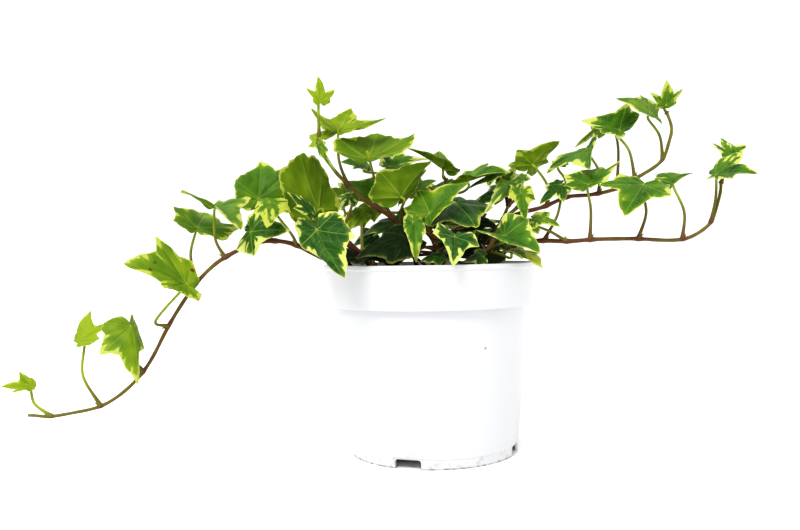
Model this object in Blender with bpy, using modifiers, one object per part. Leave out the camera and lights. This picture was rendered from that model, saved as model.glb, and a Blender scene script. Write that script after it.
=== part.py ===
"""A small variegated ivy in a plastic nursery pot: pot, soil, nine shoots and their leaf blades.

The pot stands on z = 0. Plant points are given in millimetres from the centre of the pot's rim, so
the plant follows the rim when the pot's size changes.
"""

import math
from collections import namedtuple

import bmesh
import bpy
from mathutils import Vector

MM = 0.001
WELD_DISTANCE = 0.01 * MM

# Pot
RIM_RADIUS = 52.0 * MM
POT_HEIGHT = 91.0 * MM
LIP_HEIGHT = 2.2 * MM
LIP_PROUD = 0.5 * MM
LIP_ROUNDING = 0.55 * MM
COLLAR_HEIGHT = 20.0 * MM
COLLAR_TAPER = 1.5 * MM
COLLAR_STEP = 3.0 * MM
FOOT_RADIUS = 42.0 * MM
FOOT_HEIGHT = 4.5 * MM
FOOT_STEP = 0.3 * MM
WALL = 1.3 * MM
FLOOR_LIFT = 6.0 * MM
FLOOR_THICKNESS = 1.5 * MM
POT_SEGMENTS = 48

NOTCH_COUNT = 4
NOTCH_WIDTH = 12.4 * MM
NOTCH_HEIGHT = 4.4 * MM
NOTCH_TURN = math.radians(-109.0)
NOTCH_CUT_WALLS = 6
DRAIN_RADIUS = 3.5 * MM
DRAIN_CIRCLE = 30.0 * MM
HOLE_SEGMENTS = 12

# Soil
SOIL_BELOW_RIM = 7.0 * MM
SOIL_CROWN = 4.5 * MM
DOME_SHARES = (0.0, 0.35, 0.7)
ROOT_DEPTH = 7.0 * MM
ROOT_CLEARANCE = 1.0 * MM
FIT_GAP = 0.3 * MM

# Shoots
STEM_RADIUS = 1.15 * MM
STEM_TIP_SHARE = 0.7
NODE_SWELL = 1.25
PETIOLE_RADIUS = 0.62 * MM
PETIOLE_TIP_SHARE = 0.85
STEM_STEPS = 2
PETIOLE_STEPS = 2
STEM_SIDES_RESOLUTION = 2
PETIOLE_SIDES_RESOLUTION = 1

# Leaf blades
BLADE_THICKNESS = 0.7 * MM
BLADE_CUP = 0.05
BLADE_RINGS = (0.5, 1.0)
UPPER_SIDE_TILT = 0.35
PETIOLE_GAP = 0.7 * MM
PETIOLE_APPROACH = 3.0 * MM

# Half of a blade's outline about the petiole: degrees from the midrib, and the reach there as a
# share of the midrib. The side lobe is the fourth point.
OUTLINE = ((0, 1.0), (18, 0.66), (34, 0.54), (50, 0.72), (78, 0.52), (115, 0.44), (150, 0.3))
CLEFT = (180, 0.06)
LOBE_ANGLE, LOBE_REACH = OUTLINE[3]

# Rim radius that the plant's points were chosen for
DRAWN_RIM = 52.0 * MM

# at: which route point the leaf stalk grows from; knee: where the stalk bends; then the blade's
# stalk point, its tip and the tips of its two side lobes (the second mirrors the first if None).
# The upper side looks up or to the front, unless the leaf is turned.
Leaf = namedtuple("Leaf", "at knee base tip lobe other turned", defaults=(None, False))
Shoot = namedtuple("Shoot", "route leaves")

SHOOTS = {
    "left_runner": Shoot(
        route=[
            (-37, 4, -4), (-43, -7, 4), (-49, -15, 3), (-53, -17, 4), (-63, -18, 10), (-73, -18, 12),
            (-83, -18, 11), (-96, -18, 5), (-103, -18, 0), (-111, -18, -8), (-123, -19, -26),
            (-129, -19, -38), (-135, -20, -48), (-144, -20, -57), (-155, -21, -64), (-167, -21, -66),
            (-178, -22, -68), (-185, -22, -67), (-189, -22, -67),
        ],
        leaves=[
            Leaf(4, (-65, -22, 15), (-73, -32, 29), (-73, -40, 17), (-63, -33, 24), (-80, -35, 24)),
            Leaf(5, (-80, 0, 16), (-84, 3, 33), (-84, 14, 53), (-70, 10, 46), (-95, 4, 42)),
            Leaf(6, (-84, -23, 12), (-83, -25, 16), (-64, -31, 16), (-75, -18, 27)),
            Leaf(7, (-101, -17, 13), (-100, -16, 27), (-97, -42, 17), (-116, -24, 28), (-88, -22, 22)),
            Leaf(9, (-114, -12, 6), (-112, -7, 19), (-112, 16, 28), (-91, -1, 18), (-123, -6, 29)),
            Leaf(
                10, (-128, -23, -24), (-112, -29, -7), (-139, -38, 4), (-126, -26, 14), (-117, -41, -10)
            ),
            Leaf(
                12, (-142, -21, -38), (-138, -28, -26), (-132, -38, -51), (-150, -36, -38), (-135, -22, -37)
            ),
            Leaf(
                14, (-163, -21, -49), (-164, -20, -33), (-145, -20, -24), (-162, -12, -20), (-152, -27, -32)
            ),
            Leaf(16, (-185, -22, -62), (-187, -21, -55), (-200, -24, -53), (-195, -18, -47)),
        ],
    ),
    "upright_shoot": Shoot(
        route=[
            (-6, 0, -4), (-10, -8, 9), (-14, -11, 16), (-18, -13, 22), (-25, -14, 26), (-33, -15, 32),
            (-39, -16, 38), (-45, -17, 44), (-50, -18, 53), (-52, -19, 57), (-51, -21, 61),
        ],
        leaves=[
            Leaf(2, (-14, -18, 25), (-14, -22, 31), (0, -26, 48), (-23, -30, 42), (-2, -13, 43)),
            Leaf(3, (-25, -18, 36), (-29, -20, 49), (-23, 8, 64), (-9, -16, 57), (-42, -20, 56)),
            Leaf(4, (-25, 0, 27), (-28, 1, 34), (-43, 9, 42), (-39, 1, 32), (-27, 9, 43)),
            Leaf(6, (-43, -13, 50), (-43, -13, 63), (-37, 10, 76), (-21, -8, 68), (-55, -4, 75)),
            Leaf(8, (-51, -21, 54), (-51, -25, 56), (-43, -33, 42), (-44, -34, 50), (-49, -27, 47)),
            Leaf(10, (-51, -24, 68), (-50, -25, 75), (-51, -24, 86), (-56, -27, 81), (-43, -22, 81)),
        ],
    ),
    "right_upper_runner": Shoot(
        route=[
            (22, 8, -4), (28, 12, 11), (40, 14, 22), (50, 13, 25), (59, 12, 27), (69, 12, 32),
            (77, 11, 32), (85, 11, 33), (94, 10, 35), (103, 9, 40), (110, 8, 44), (117, 8, 49),
            (119, 7, 57), (121, 7, 63), (120, 7, 68), (118, 7, 73),
        ],
        leaves=[
            Leaf(4, (59, 8, 37), (50, 2, 47), (66, 8, 60), (42, -8, 53), (61, 16, 49)),
            Leaf(7, (86, 13, 44), (79, 8, 55), (76, -10, 43), (58, 0, 45), (83, 6, 60)),
            Leaf(8, (96, 14, 55), (94, 22, 69), (74, 16, 57), (83, 10, 67), (90, 27, 62)),
            Leaf(9, (100, 9, 54), (95, 8, 64), (75, 2, 68), (101, 15, 79), (82, -5, 61)),
            Leaf(11, (115, 8, 61), (111, 8, 72), (91, 2, 78), (109, 18, 84), (105, -4, 69)),
            Leaf(15, (118, 7, 74), (118, 7, 76), (118, 6, 88), (128, 10, 85), (109, 4, 82)),
        ],
    ),
    "right_lower_runner": Shoot(
        route=[
            (29, -4, -4), (36, -6, 6), (44, -9, 9), (53, -12, 10), (64, -13, 9), (75, -13, 10),
            (86, -13, 10), (98, -13, 10), (108, -13, 9), (119, -13, 9), (126, -13, 12), (133, -12, 17),
            (135, -12, 24), (138, -10, 31), (139, -8, 37),
        ],
        leaves=[
            Leaf(3, (61, -6, 22), (64, 0, 37), (52, -8, 27), (57, 3, 36), (63, -12, 28)),
            Leaf(4, (56, -15, 14), (49, -14, 20), (60, -20, 16), (57, -8, 23)),
            Leaf(5, (76, -11, 24), (75, -10, 36), (84, 7, 46), (92, -5, 47), (63, -13, 41)),
            Leaf(7, (101, -15, 22), (99, -18, 35), (84, -38, 20), (76, -27, 34), (107, -30, 28)),
            Leaf(9, (121, -9, 22), (114, -5, 36), (122, 16, 42), (124, 0, 41), (102, -5, 40)),
            Leaf(11, (134, -14, 28), (133, -17, 38), (150, -28, 39), (150, -17, 51), (126, -19, 41)),
            Leaf(14, (140, -6, 42), (141, -5, 48), (146, 6, 58), (150, -4, 55), (132, -4, 55)),
        ],
    ),
    "crown_left_shoot": Shoot(
        route=[(-28, -14, -4), (-32, -22, 5), (-38, -26, 10), (-42, -26, 14), (-45, -22, 18)],
        leaves=[
            Leaf(1, (-43, -36, 12), (-54, -43, 18), (-39, -61, -5), (-61, -40, 11), (-37, -55, 16)),
            Leaf(2, (-47, -31, 14), (-54, -31, 24), (-65, -33, 33), (-60, -27, 33), (-62, -37, 26)),
            Leaf(3, (-49, -21, 20), (-53, -14, 26), (-61, -20, 51), (-65, -25, 34), (-47, -12, 46), True),
        ],
    ),
    "crown_front_shoot": Shoot(
        route=[(4, -16, -4), (2, -22, 5), (0, -25, 12), (-2, -23, 18), (-4, -20, 24)],
        leaves=[
            Leaf(1, (-1, -30, 7), (-11, -34, 12), (-35, -44, 4), (-24, -28, 14), (-18, -48, 2)),
            Leaf(1, (7, -36, 9), (9, -43, 12), (7, -60, -1), (-1, -48, 14), (19, -50, 8)),
            Leaf(2, (-5, -31, 16), (-9, -36, 19), (-8, -47, 1), (-1, -41, 12), (-15, -42, 13)),
            Leaf(2, (7, -16, 20), (9, -9, 27), (21, -27, 18), (3, -30, 17), (25, -1, 27)),
            Leaf(4, (-2, -23, 24), (-1, -26, 27), (18, -21, 39), (-3, -14, 37), (9, -32, 30)),
        ],
    ),
    "crown_middle_shoot": Shoot(
        route=[(1, 16, -4), (3, 16, 11), (6, 14, 24), (7, 10, 35), (9, 8, 42)],
        leaves=[
            Leaf(2, (-8, 12, 37), (-19, 8, 48), (2, 18, 52), (-13, 18, 58), (-10, 0, 46)),
            Leaf(2, (-1, 4, 30), (-8, -2, 35), (4, -1, 41), (-4, 8, 42), (1, -9, 34)),
            Leaf(3, (15, 0, 34), (18, -7, 39), (39, -9, 43), (29, 4, 49), (17, -14, 41)),
            Leaf(4, (7, 5, 43), (7, 4, 46), (-11, 8, 57), (6, 18, 56), (8, -3, 51)),
        ],
    ),
    "crown_right_shoot": Shoot(
        route=[(20, -20, -4), (25, -24, 5), (29, -24, 12), (33, -20, 20), (37, -14, 28)],
        leaves=[
            Leaf(1, (28, -33, 8), (31, -38, 12), (45, -53, 4), (42, -36, 20), (24, -44, 12)),
            Leaf(1, (30, -29, 4), (35, -33, 5), (46, -51, -2), (48, -34, 4), (37, -47, 2)),
            Leaf(3, (42, -19, 27), (41, -22, 32), (41, -32, 18), (35, -27, 30), (48, -24, 29)),
            Leaf(3, (43, -2, 28), (42, 8, 38), (20, 2, 26), (30, 14, 38), (31, -4, 27)),
            Leaf(4, (42, -5, 31), (41, -7, 38), (22, -35, 20), (34, -24, 26), (25, -11, 32)),
        ],
    ),
    "crown_back_shoot": Shoot(
        route=[(8, 30, -4), (6, 32, 8), (4, 32, 18), (0, 28, 28)],
        leaves=[
            Leaf(1, (-8, 34, 8), (-20, 34, 12), (-34, 60, 4), (-38, 40, 10), (-12, 52, 6)),
            Leaf(1, (20, 32, 14), (44, 30, 20), (62, 50, 14), (36, 46, 20), (60, 34, 20)),
            Leaf(2, (10, 35, 20), (16, 38, 22), (22, 63, 12), (5, 51, 18), (34, 48, 20)),
            Leaf(3, (-4, 26, 34), (-6, 26, 36), (-14, 44, 46), (-22, 30, 42), (4, 38, 42)),
        ],
    ),
}

COLOURS = {
    "white_plastic": ((0.86, 0.87, 0.87), 0.35),
    "potting_mix": ((0.022, 0.016, 0.011), 0.95),
    "ivy_stem": ((0.17, 0.10, 0.035), 0.55),
    "ivy_leaf": ((0.12, 0.29, 0.035), 0.4),
}


def clear_scene():
    for obj in list(bpy.data.objects):
        bpy.data.objects.remove(obj, do_unlink=True)


def new_collection(name):
    collection = bpy.data.collections.new(name)
    bpy.context.scene.collection.children.link(collection)
    return collection


def finish_of(name):
    """The shared Principled material of this name, made on first use."""
    material = bpy.data.materials.get(name)
    if material is None:
        colour, roughness = COLOURS[name]
        material = bpy.data.materials.new(name)
        material.use_nodes = True
        shader = material.node_tree.nodes["Principled BSDF"]
        shader.inputs["Base Color"].default_value = (*colour, 1.0)
        shader.inputs["Roughness"].default_value = roughness
        shader.inputs["Metallic"].default_value = 0.0
    return material


def new_object(name, mesh, collection, finish=None):
    obj = bpy.data.objects.new(name, mesh)
    collection.objects.link(obj)
    if finish:
        mesh.materials.append(finish_of(finish))
    return obj


def make_cutter(obj):
    obj.hide_render = True
    obj.display_type = "WIRE"
    return obj


def add_boolean(obj, other, operation):
    modifier = obj.modifiers.new(other.name, "BOOLEAN")
    modifier.operation = operation
    modifier.solver = "EXACT"
    modifier.object = other


def turned(name, profile, collection, finish):
    """A solid turned about +Z from (radius, height) points that run down its outer side."""
    mesh = bpy.data.meshes.new(name)
    points = [(radius, 0.0, height) for radius, height in profile]
    edges = [(i, i + 1) for i in range(len(points) - 1)]
    mesh.from_pydata(points, edges, [])
    obj = new_object(name, mesh, collection, finish)
    screw = obj.modifiers.new("turn", "SCREW")
    screw.axis = "Z"
    screw.steps = POT_SEGMENTS
    screw.render_steps = POT_SEGMENTS
    screw.use_merge_vertices = True
    screw.merge_threshold = WELD_DISTANCE
    screw.use_smooth_shade = True
    return obj


# Pot and soil

WALL_TOP = POT_HEIGHT - COLLAR_HEIGHT
COLLAR_RADIUS = RIM_RADIUS - LIP_PROUD
COLLAR_FOOT_RADIUS = COLLAR_RADIUS - COLLAR_TAPER
WALL_TOP_RADIUS = COLLAR_FOOT_RADIUS - COLLAR_STEP
FLOOR_TOP = FLOOR_LIFT + FLOOR_THICKNESS


def wall_radius(height):
    """Outer radius of the tapered wall below the collar."""
    return FOOT_RADIUS + (WALL_TOP_RADIUS - FOOT_RADIUS) * height / WALL_TOP


def collar_radius(height):
    """Outer radius of the collar band under the lip."""
    return COLLAR_RADIUS - COLLAR_TAPER * (POT_HEIGHT - height) / COLLAR_HEIGHT


def inner_profile(start, top, gap):
    """The hollow's wall, as (radius, height) points from the floor up, pulled in by a gap."""
    shoulder = WALL_TOP + WALL
    return [
        (wall_radius(start) - WALL - gap, start),
        (wall_radius(WALL_TOP) - WALL - gap, WALL_TOP),
        (collar_radius(shoulder) - WALL - gap, shoulder + COLLAR_STEP / 2),
        (collar_radius(top) - WALL - gap, top),
    ]


def build_pot(collection, cutters):
    profile = [
        (0.0, FLOOR_TOP),
        *inner_profile(FLOOR_TOP, POT_HEIGHT - LIP_ROUNDING, 0.0),
        (COLLAR_RADIUS - WALL + LIP_ROUNDING, POT_HEIGHT),
        (RIM_RADIUS - LIP_ROUNDING, POT_HEIGHT),
        (RIM_RADIUS, POT_HEIGHT - LIP_ROUNDING),
        (RIM_RADIUS, POT_HEIGHT - LIP_HEIGHT + LIP_ROUNDING),
        (COLLAR_RADIUS, POT_HEIGHT - LIP_HEIGHT),
        (COLLAR_FOOT_RADIUS, WALL_TOP + LIP_ROUNDING),
        (COLLAR_FOOT_RADIUS - LIP_ROUNDING, WALL_TOP),
        (wall_radius(WALL_TOP), WALL_TOP),
        (wall_radius(FOOT_HEIGHT), FOOT_HEIGHT),
        (wall_radius(FOOT_HEIGHT) - FOOT_STEP, FOOT_HEIGHT - FOOT_STEP),
        (FOOT_RADIUS - FOOT_STEP, 0.0),
        (FOOT_RADIUS - WALL, 0.0),
        (wall_radius(FLOOR_LIFT) - WALL, FLOOR_LIFT),
        (0.0, FLOOR_LIFT),
    ]
    pot = turned("pot", profile, collection, "white_plastic")
    for number in range(NOTCH_COUNT):
        turn = NOTCH_TURN + number * math.tau / NOTCH_COUNT
        out = Vector((math.cos(turn), math.sin(turn), 0.0))
        notch = notch_cutter(f"foot_notch_{number + 1}", cutters)
        notch.location = out * (FOOT_RADIUS - WALL / 2)
        notch.rotation_euler = (0.0, 0.0, turn)
        add_boolean(pot, notch, "DIFFERENCE")
        drain = round_cutter(f"drain_hole_{number + 1}", DRAIN_RADIUS, FLOOR_TOP, cutters)
        drain.location = out * DRAIN_CIRCLE + Vector((0.0, 0.0, (FLOOR_TOP + FLOOR_LIFT) / 2))
        add_boolean(pot, drain, "DIFFERENCE")
    return pot


def notch_cutter(name, cutters):
    """A box that passes right through the foot ring, as wide as a notch and twice as high."""
    mesh = bpy.data.meshes.new(name)
    shape = bmesh.new()
    bmesh.ops.create_cube(shape, size=1.0)
    bmesh.ops.scale(shape, vec=(WALL * NOTCH_CUT_WALLS, NOTCH_WIDTH, NOTCH_HEIGHT * 2), verts=shape.verts)
    shape.to_mesh(mesh)
    shape.free()
    return make_cutter(new_object(name, mesh, cutters))


def round_cutter(name, radius, depth, cutters):
    mesh = bpy.data.meshes.new(name)
    shape = bmesh.new()
    bmesh.ops.create_cone(
        shape, cap_ends=True, segments=HOLE_SEGMENTS, radius1=radius, radius2=radius, depth=depth
    )
    shape.to_mesh(mesh)
    shape.free()
    return make_cutter(new_object(name, mesh, cutters))


def build_soil(collection, cutters):
    edge = POT_HEIGHT - SOIL_BELOW_RIM
    side = inner_profile(FLOOR_TOP + FIT_GAP, edge, FIT_GAP)
    rim = side[-1][0]
    dome = [(rim * share, edge + SOIL_CROWN * (1 - share**2)) for share in DOME_SHARES]
    profile = dome + side[::-1] + [(0.0, FLOOR_TOP + FIT_GAP)]
    soil = turned("soil", profile, collection, "potting_mix")
    # The stems lean further where the rim spreads them, so their holes widen with it.
    hole_radius = STEM_RADIUS + ROOT_CLEARANCE * RIM_RADIUS / DRAWN_RIM
    for name, shoot in SHOOTS.items():
        foot = placed(shoot.route[0])
        top = POT_HEIGHT + SOIL_CROWN
        bottom = foot.z - ROOT_DEPTH - FIT_GAP
        hole = round_cutter(f"{name}_hole", hole_radius, top - bottom, cutters)
        hole.location = (foot.x, foot.y, (top + bottom) / 2)
        add_boolean(soil, hole, "DIFFERENCE")
    return soil


# Plant


def placed(point):
    """A point of the plant: inside the rim it keeps its share of the radius, outside its distance."""
    x, y, z = point
    reach = math.hypot(x, y) * MM
    inside = reach <= DRAWN_RIM
    share = RIM_RADIUS / DRAWN_RIM if inside else (reach - DRAWN_RIM + RIM_RADIUS) / reach
    return Vector((x * share * MM, y * share * MM, z * MM + POT_HEIGHT))


def smooth_route(points, steps):
    """Points on a smooth curve through the given ones, with this many steps between each two."""
    ends = [2 * points[0] - points[1], *points, 2 * points[-1] - points[-2]]
    route = []
    for i in range(1, len(ends) - 2):
        before, here, there, after = ends[i - 1 : i + 3]
        for step in range(steps):
            t = step / steps
            route.append(
                (
                    2 * here
                    + (there - before) * t
                    + (2 * before - 5 * here + 4 * there - after) * t**2
                    + (3 * here - 3 * there + after - before) * t**3
                )
                / 2
            )
    route.append(points[-1])
    return route


def tube(name, route, radii, resolution, collection, finish=None):
    """A round tube with closed ends along the route, as a mesh."""
    curve = bpy.data.curves.new(name, "CURVE")
    curve.dimensions = "3D"
    curve.bevel_depth = 1.0
    curve.bevel_resolution = resolution
    curve.use_fill_caps = True
    spline = curve.splines.new("POLY")
    spline.points.add(len(route) - 1)
    for place, point, radius in zip(spline.points, route, radii):
        place.co = (*point, 1.0)
        place.radius = radius
    drawn = bpy.data.objects.new(name + "_curve", curve)
    collection.objects.link(drawn)
    graph = bpy.context.evaluated_depsgraph_get()
    mesh = bpy.data.meshes.new_from_object(drawn.evaluated_get(graph))
    place_of = drawn.matrix_world.copy()
    bpy.data.objects.remove(drawn, do_unlink=True)
    shape = bmesh.new()
    shape.from_mesh(mesh)
    bmesh.ops.remove_doubles(shape, verts=shape.verts, dist=WELD_DISTANCE)
    bmesh.ops.recalc_face_normals(shape, faces=shape.faces)
    shape.to_mesh(mesh)
    shape.free()
    mesh.shade_smooth()
    obj = new_object(name, mesh, collection, finish)
    obj.matrix_world = place_of
    return obj


def blade_frame(leaf):
    """Base point, midrib vector, the vectors of the two halves, and the upper side's direction."""
    base, tip, lobe = placed(leaf.base), placed(leaf.tip), placed(leaf.lobe)
    midrib = tip - base
    angle = math.radians(LOBE_ANGLE)
    lobe_forward = midrib * (LOBE_REACH * math.cos(angle))
    lobe_width = LOBE_REACH * math.sin(angle)
    half = (lobe - base - lobe_forward) / lobe_width
    if leaf.other is None:
        along = half.project(midrib)
        other_half = 2 * along - half
    else:
        other_half = (placed(leaf.other) - base - lobe_forward) / lobe_width
    upper = (half - other_half).cross(midrib).normalized()
    if (upper.z - UPPER_SIDE_TILT * upper.y < 0) != leaf.turned:
        upper.negate()
    return base, midrib, half, other_half, upper


def blade_points(leaf):
    """The blade's middle surface: its stalk point, then rings of outline points about it."""
    base, midrib, half, other_half, upper = blade_frame(leaf)
    length = midrib.length
    outline = [*OUTLINE, CLEFT, *[(-angle, reach) for angle, reach in OUTLINE[:0:-1]]]
    points = [base]
    for ring in BLADE_RINGS:
        for degrees, reach in outline:
            across = ring * reach * math.sin(math.radians(degrees))
            along = ring * reach * math.cos(math.radians(degrees))
            side = half if across > 0 else other_half
            cup = BLADE_CUP * length * (4 * along * (1 - along) - 2 * across**2)
            points.append(base + midrib * along + side * abs(across) + upper * cup)
    return points, len(outline)


def build_blade(name, leaf, collection):
    points, count = blade_points(leaf)
    mesh = bpy.data.meshes.new(name)
    shape = bmesh.new()
    verts = [shape.verts.new(point) for point in points]
    for i in range(count):
        j = (i + 1) % count
        shape.faces.new((verts[0], verts[1 + i], verts[1 + j]))
        for ring in range(len(BLADE_RINGS) - 1):
            inner, outer = 1 + ring * count, 1 + (ring + 1) * count
            shape.faces.new((verts[inner + i], verts[outer + i], verts[outer + j], verts[inner + j]))
    bmesh.ops.triangulate(shape, faces=shape.faces)
    shape.to_mesh(mesh)
    shape.free()
    mesh.shade_smooth()
    blade = new_object(name, mesh, collection, "ivy_leaf")
    solid = blade.modifiers.new("thickness", "SOLIDIFY")
    solid.thickness = BLADE_THICKNESS
    solid.offset = 0.0
    return blade


def petiole_route(leaf, node):
    """From the stem's node round the knee, and up to the blade from its underside."""
    base, midrib, _, _, upper = blade_frame(leaf)
    end = base - upper * (BLADE_THICKNESS / 2 + PETIOLE_GAP)
    knee = placed(leaf.knee)
    approach = base - upper * PETIOLE_APPROACH
    if (knee - end).length < PETIOLE_APPROACH:
        return smooth_route([node, (node + approach) / 2, end], PETIOLE_STEPS)
    return smooth_route([node, knee, approach, end], PETIOLE_STEPS)


def build_shoot(name, shoot, collection, cutters):
    """The stem with its leaf stalks grown on it, and one blade for each stalk."""
    corners = [placed(point) for point in shoot.route]
    root = corners[0] - Vector((0.0, 0.0, ROOT_DEPTH))
    nodes = {leaf.at for leaf in shoot.leaves}
    route = smooth_route([root, *corners], STEM_STEPS)
    radii = []
    for i in range(len(route)):
        share = i / (len(route) - 1)
        swell = NODE_SWELL if i % STEM_STEPS == 0 and i // STEM_STEPS - 1 in nodes else 1.0
        radii.append(STEM_RADIUS * swell * (1 - (1 - STEM_TIP_SHARE) * share))
    stem = tube(f"{name}_stem", route, radii, STEM_SIDES_RESOLUTION, collection, "ivy_stem")
    for number, leaf in enumerate(shoot.leaves, 1):
        stalk = petiole_route(leaf, corners[leaf.at])
        thin = [
            PETIOLE_RADIUS * (1 - (1 - PETIOLE_TIP_SHARE) * i / (len(stalk) - 1))
            for i in range(len(stalk))
        ]
        petiole = tube(f"{name}_petiole_{number}", stalk, thin, PETIOLE_SIDES_RESOLUTION, cutters)
        add_boolean(stem, make_cutter(petiole), "UNION")
        build_blade(f"{name}_leaf_{number}", leaf, collection)


def centre_on_footprint(collection):
    """Hangs every piece on one empty, and moves it so that the footprint's middle is the origin."""
    bpy.context.view_layer.update()
    graph = bpy.context.evaluated_depsgraph_get()
    xs, ys = [], []
    for obj in collection.objects:
        solid = obj.evaluated_get(graph)
        mesh = solid.to_mesh()
        for vertex in mesh.vertices:
            point = solid.matrix_world @ vertex.co
            xs.append(point.x)
            ys.append(point.y)
        solid.to_mesh_clear()
    middle = bpy.data.objects.new("footprint_middle", None)
    for group in (collection, bpy.data.collections["cutters"]):
        for obj in group.objects:
            obj.parent = middle
    collection.objects.link(middle)
    middle.location = (-(min(xs) + max(xs)) / 2, -(min(ys) + max(ys)) / 2, 0.0)


def main():
    clear_scene()
    plant = new_collection("potted_ivy")
    cutters = new_collection("cutters")
    build_pot(plant, cutters)
    build_soil(plant, cutters)
    for name, shoot in SHOOTS.items():
        build_shoot(name, shoot, plant, cutters)
    centre_on_footprint(plant)


main()
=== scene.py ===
"""A small variegated ivy in a white plastic nursery pot, dressed round its plain solid model.

Every blade, vine, the soil and the pot are surfaces worked out on grids with numpy. Each closes on a
point at both ends, so that one function turns any of them into a mesh. The frame gives the pot's
place and size; the plant's points are millimetres from the middle of the rim.
"""

import math
from collections import namedtuple

import bpy
import numpy as np
from bpy.props import FloatProperty, FloatVectorProperty, IntProperty, PointerProperty
from mathutils import Matrix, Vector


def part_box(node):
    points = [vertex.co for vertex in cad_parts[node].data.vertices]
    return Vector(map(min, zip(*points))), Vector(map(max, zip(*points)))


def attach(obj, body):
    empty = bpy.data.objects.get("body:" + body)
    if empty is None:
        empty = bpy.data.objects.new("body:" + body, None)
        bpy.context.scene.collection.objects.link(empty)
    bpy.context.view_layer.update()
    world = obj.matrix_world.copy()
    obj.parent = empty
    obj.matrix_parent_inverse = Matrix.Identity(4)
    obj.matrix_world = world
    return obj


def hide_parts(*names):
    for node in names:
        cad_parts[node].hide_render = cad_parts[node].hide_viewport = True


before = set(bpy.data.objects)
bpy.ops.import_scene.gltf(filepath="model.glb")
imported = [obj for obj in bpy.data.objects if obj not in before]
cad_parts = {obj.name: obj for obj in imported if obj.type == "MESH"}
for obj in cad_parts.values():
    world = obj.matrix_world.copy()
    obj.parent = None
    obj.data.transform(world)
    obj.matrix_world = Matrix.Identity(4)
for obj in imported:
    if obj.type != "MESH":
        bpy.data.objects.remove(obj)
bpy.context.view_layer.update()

bl_info = {
    "name": "Potted ivy",
    "version": (1, 0, 0),
    "blender": (4, 5, 0),
    "location": "3D View > Sidebar > Ivy",
    "description": "Builds a variegated ivy in its pot, piece by piece",
    "category": "Object",
}

MM = 0.001
BODY = "root"

POT_LOW, POT_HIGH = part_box("pot")
RIM_MIDDLE = np.array([(POT_LOW.x + POT_HIGH.x) / 2, (POT_LOW.y + POT_HIGH.y) / 2, POT_HIGH.z])
RIM_RADIUS = (POT_HIGH.x - POT_LOW.x) / 2
SOIL_LOW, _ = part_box("soil")

SEEDS = {"soil": 11, "crumbs": 5, "vines": 21, "leaves": 3, "more": 4}


# Plant layout

# at: the route point that the leaf stalk grows from; knee: where the stalk bends; then the blade's
# stalk point, its tip and the tips of its two side lobes (the second mirrors the first if None).
# The upper side looks up or to the front, unless the leaf is turned.
Leaf = namedtuple(
    "Leaf", "at knee base tip lobe other look shape turned", defaults=(None, "green", "lobed", False)
)

# route: the stem's corners; leaves: one for each blade of the plain model; more: extra blades that
# the plain model leaves out.
Shoot = namedtuple("Shoot", "route leaves more", defaults=((),))

# cream: how far the cream edge reaches in; gold: how yellow it is; youth and painted shade: deep green to
# bright yellow-green, and below -0.1 a near-black painted shade; spots: brown flecks and a dry tip.
Look = namedtuple("Look", "cream gold youth spots")

LOOKS = {
    # shade: blades painted near-black as painted shade, for leaves deep in the crown
    "shade": Look(0.1, 0.4, -0.75, 0.0),
    "dark": Look(0.14, 0.5, -0.12, 0.1),
    "dark_edged": Look(0.34, 0.3, -0.02, 0.1),
    "green": Look(0.2, 0.5, 0.3, 0.15),
    "green_edged": Look(0.34, 0.4, 0.24, 0.15),
    "marbled": Look(1.15, 0.15, 0.2, 0.1),
    "golden": Look(1.0, 0.8, 0.4, 0.2),
    "olive": Look(0.18, 0.6, 0.34, 0.1),
    "bright": Look(0.28, 0.6, 0.62, 0.1),
    "spotted": Look(0.34, 0.6, 0.55, 0.9),
    "young": Look(0.16, 0.8, 0.9, 0.1),
    "pale": Look(0.3, 0.5, 0.42, 0.2),
}

# Half of a blade's outline about its stalk: degrees from the midrib and the reach as a share of the
# midrib. Lobe tips and the bays between them take turns, from the tip to the cleft at the stalk.
SHAPES = {
    "lobed": ((0, 1.0), (30, 0.56), (50, 0.72), (78, 0.45), (104, 0.42), (138, 0.28), (180, 0.05)),
    "broad": ((0, 1.0), (30, 0.68), (50, 0.74), (80, 0.56), (106, 0.49), (138, 0.36), (180, 0.06)),
    "round": ((0, 1.0), (27, 0.94), (50, 0.88), (78, 0.75), (104, 0.62), (138, 0.5), (180, 0.06)),
    "star": ((0, 1.0), (28, 0.42), (50, 0.72), (78, 0.33), (106, 0.33), (140, 0.22), (180, 0.05)),
    "arrow": ((0, 1.0), (26, 0.46), (50, 0.72), (78, 0.36), (104, 0.28), (140, 0.2), (180, 0.05)),
    "spear": ((0, 1.0), (34, 0.5), (50, 0.5), (78, 0.36), (104, 0.32), (138, 0.25), (180, 0.06)),
}
LOBE_ANGLE, LOBE_REACH = 50.0, 0.72
VEIN_ANGLES = (0.0, 50.0, 106.0)

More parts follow.
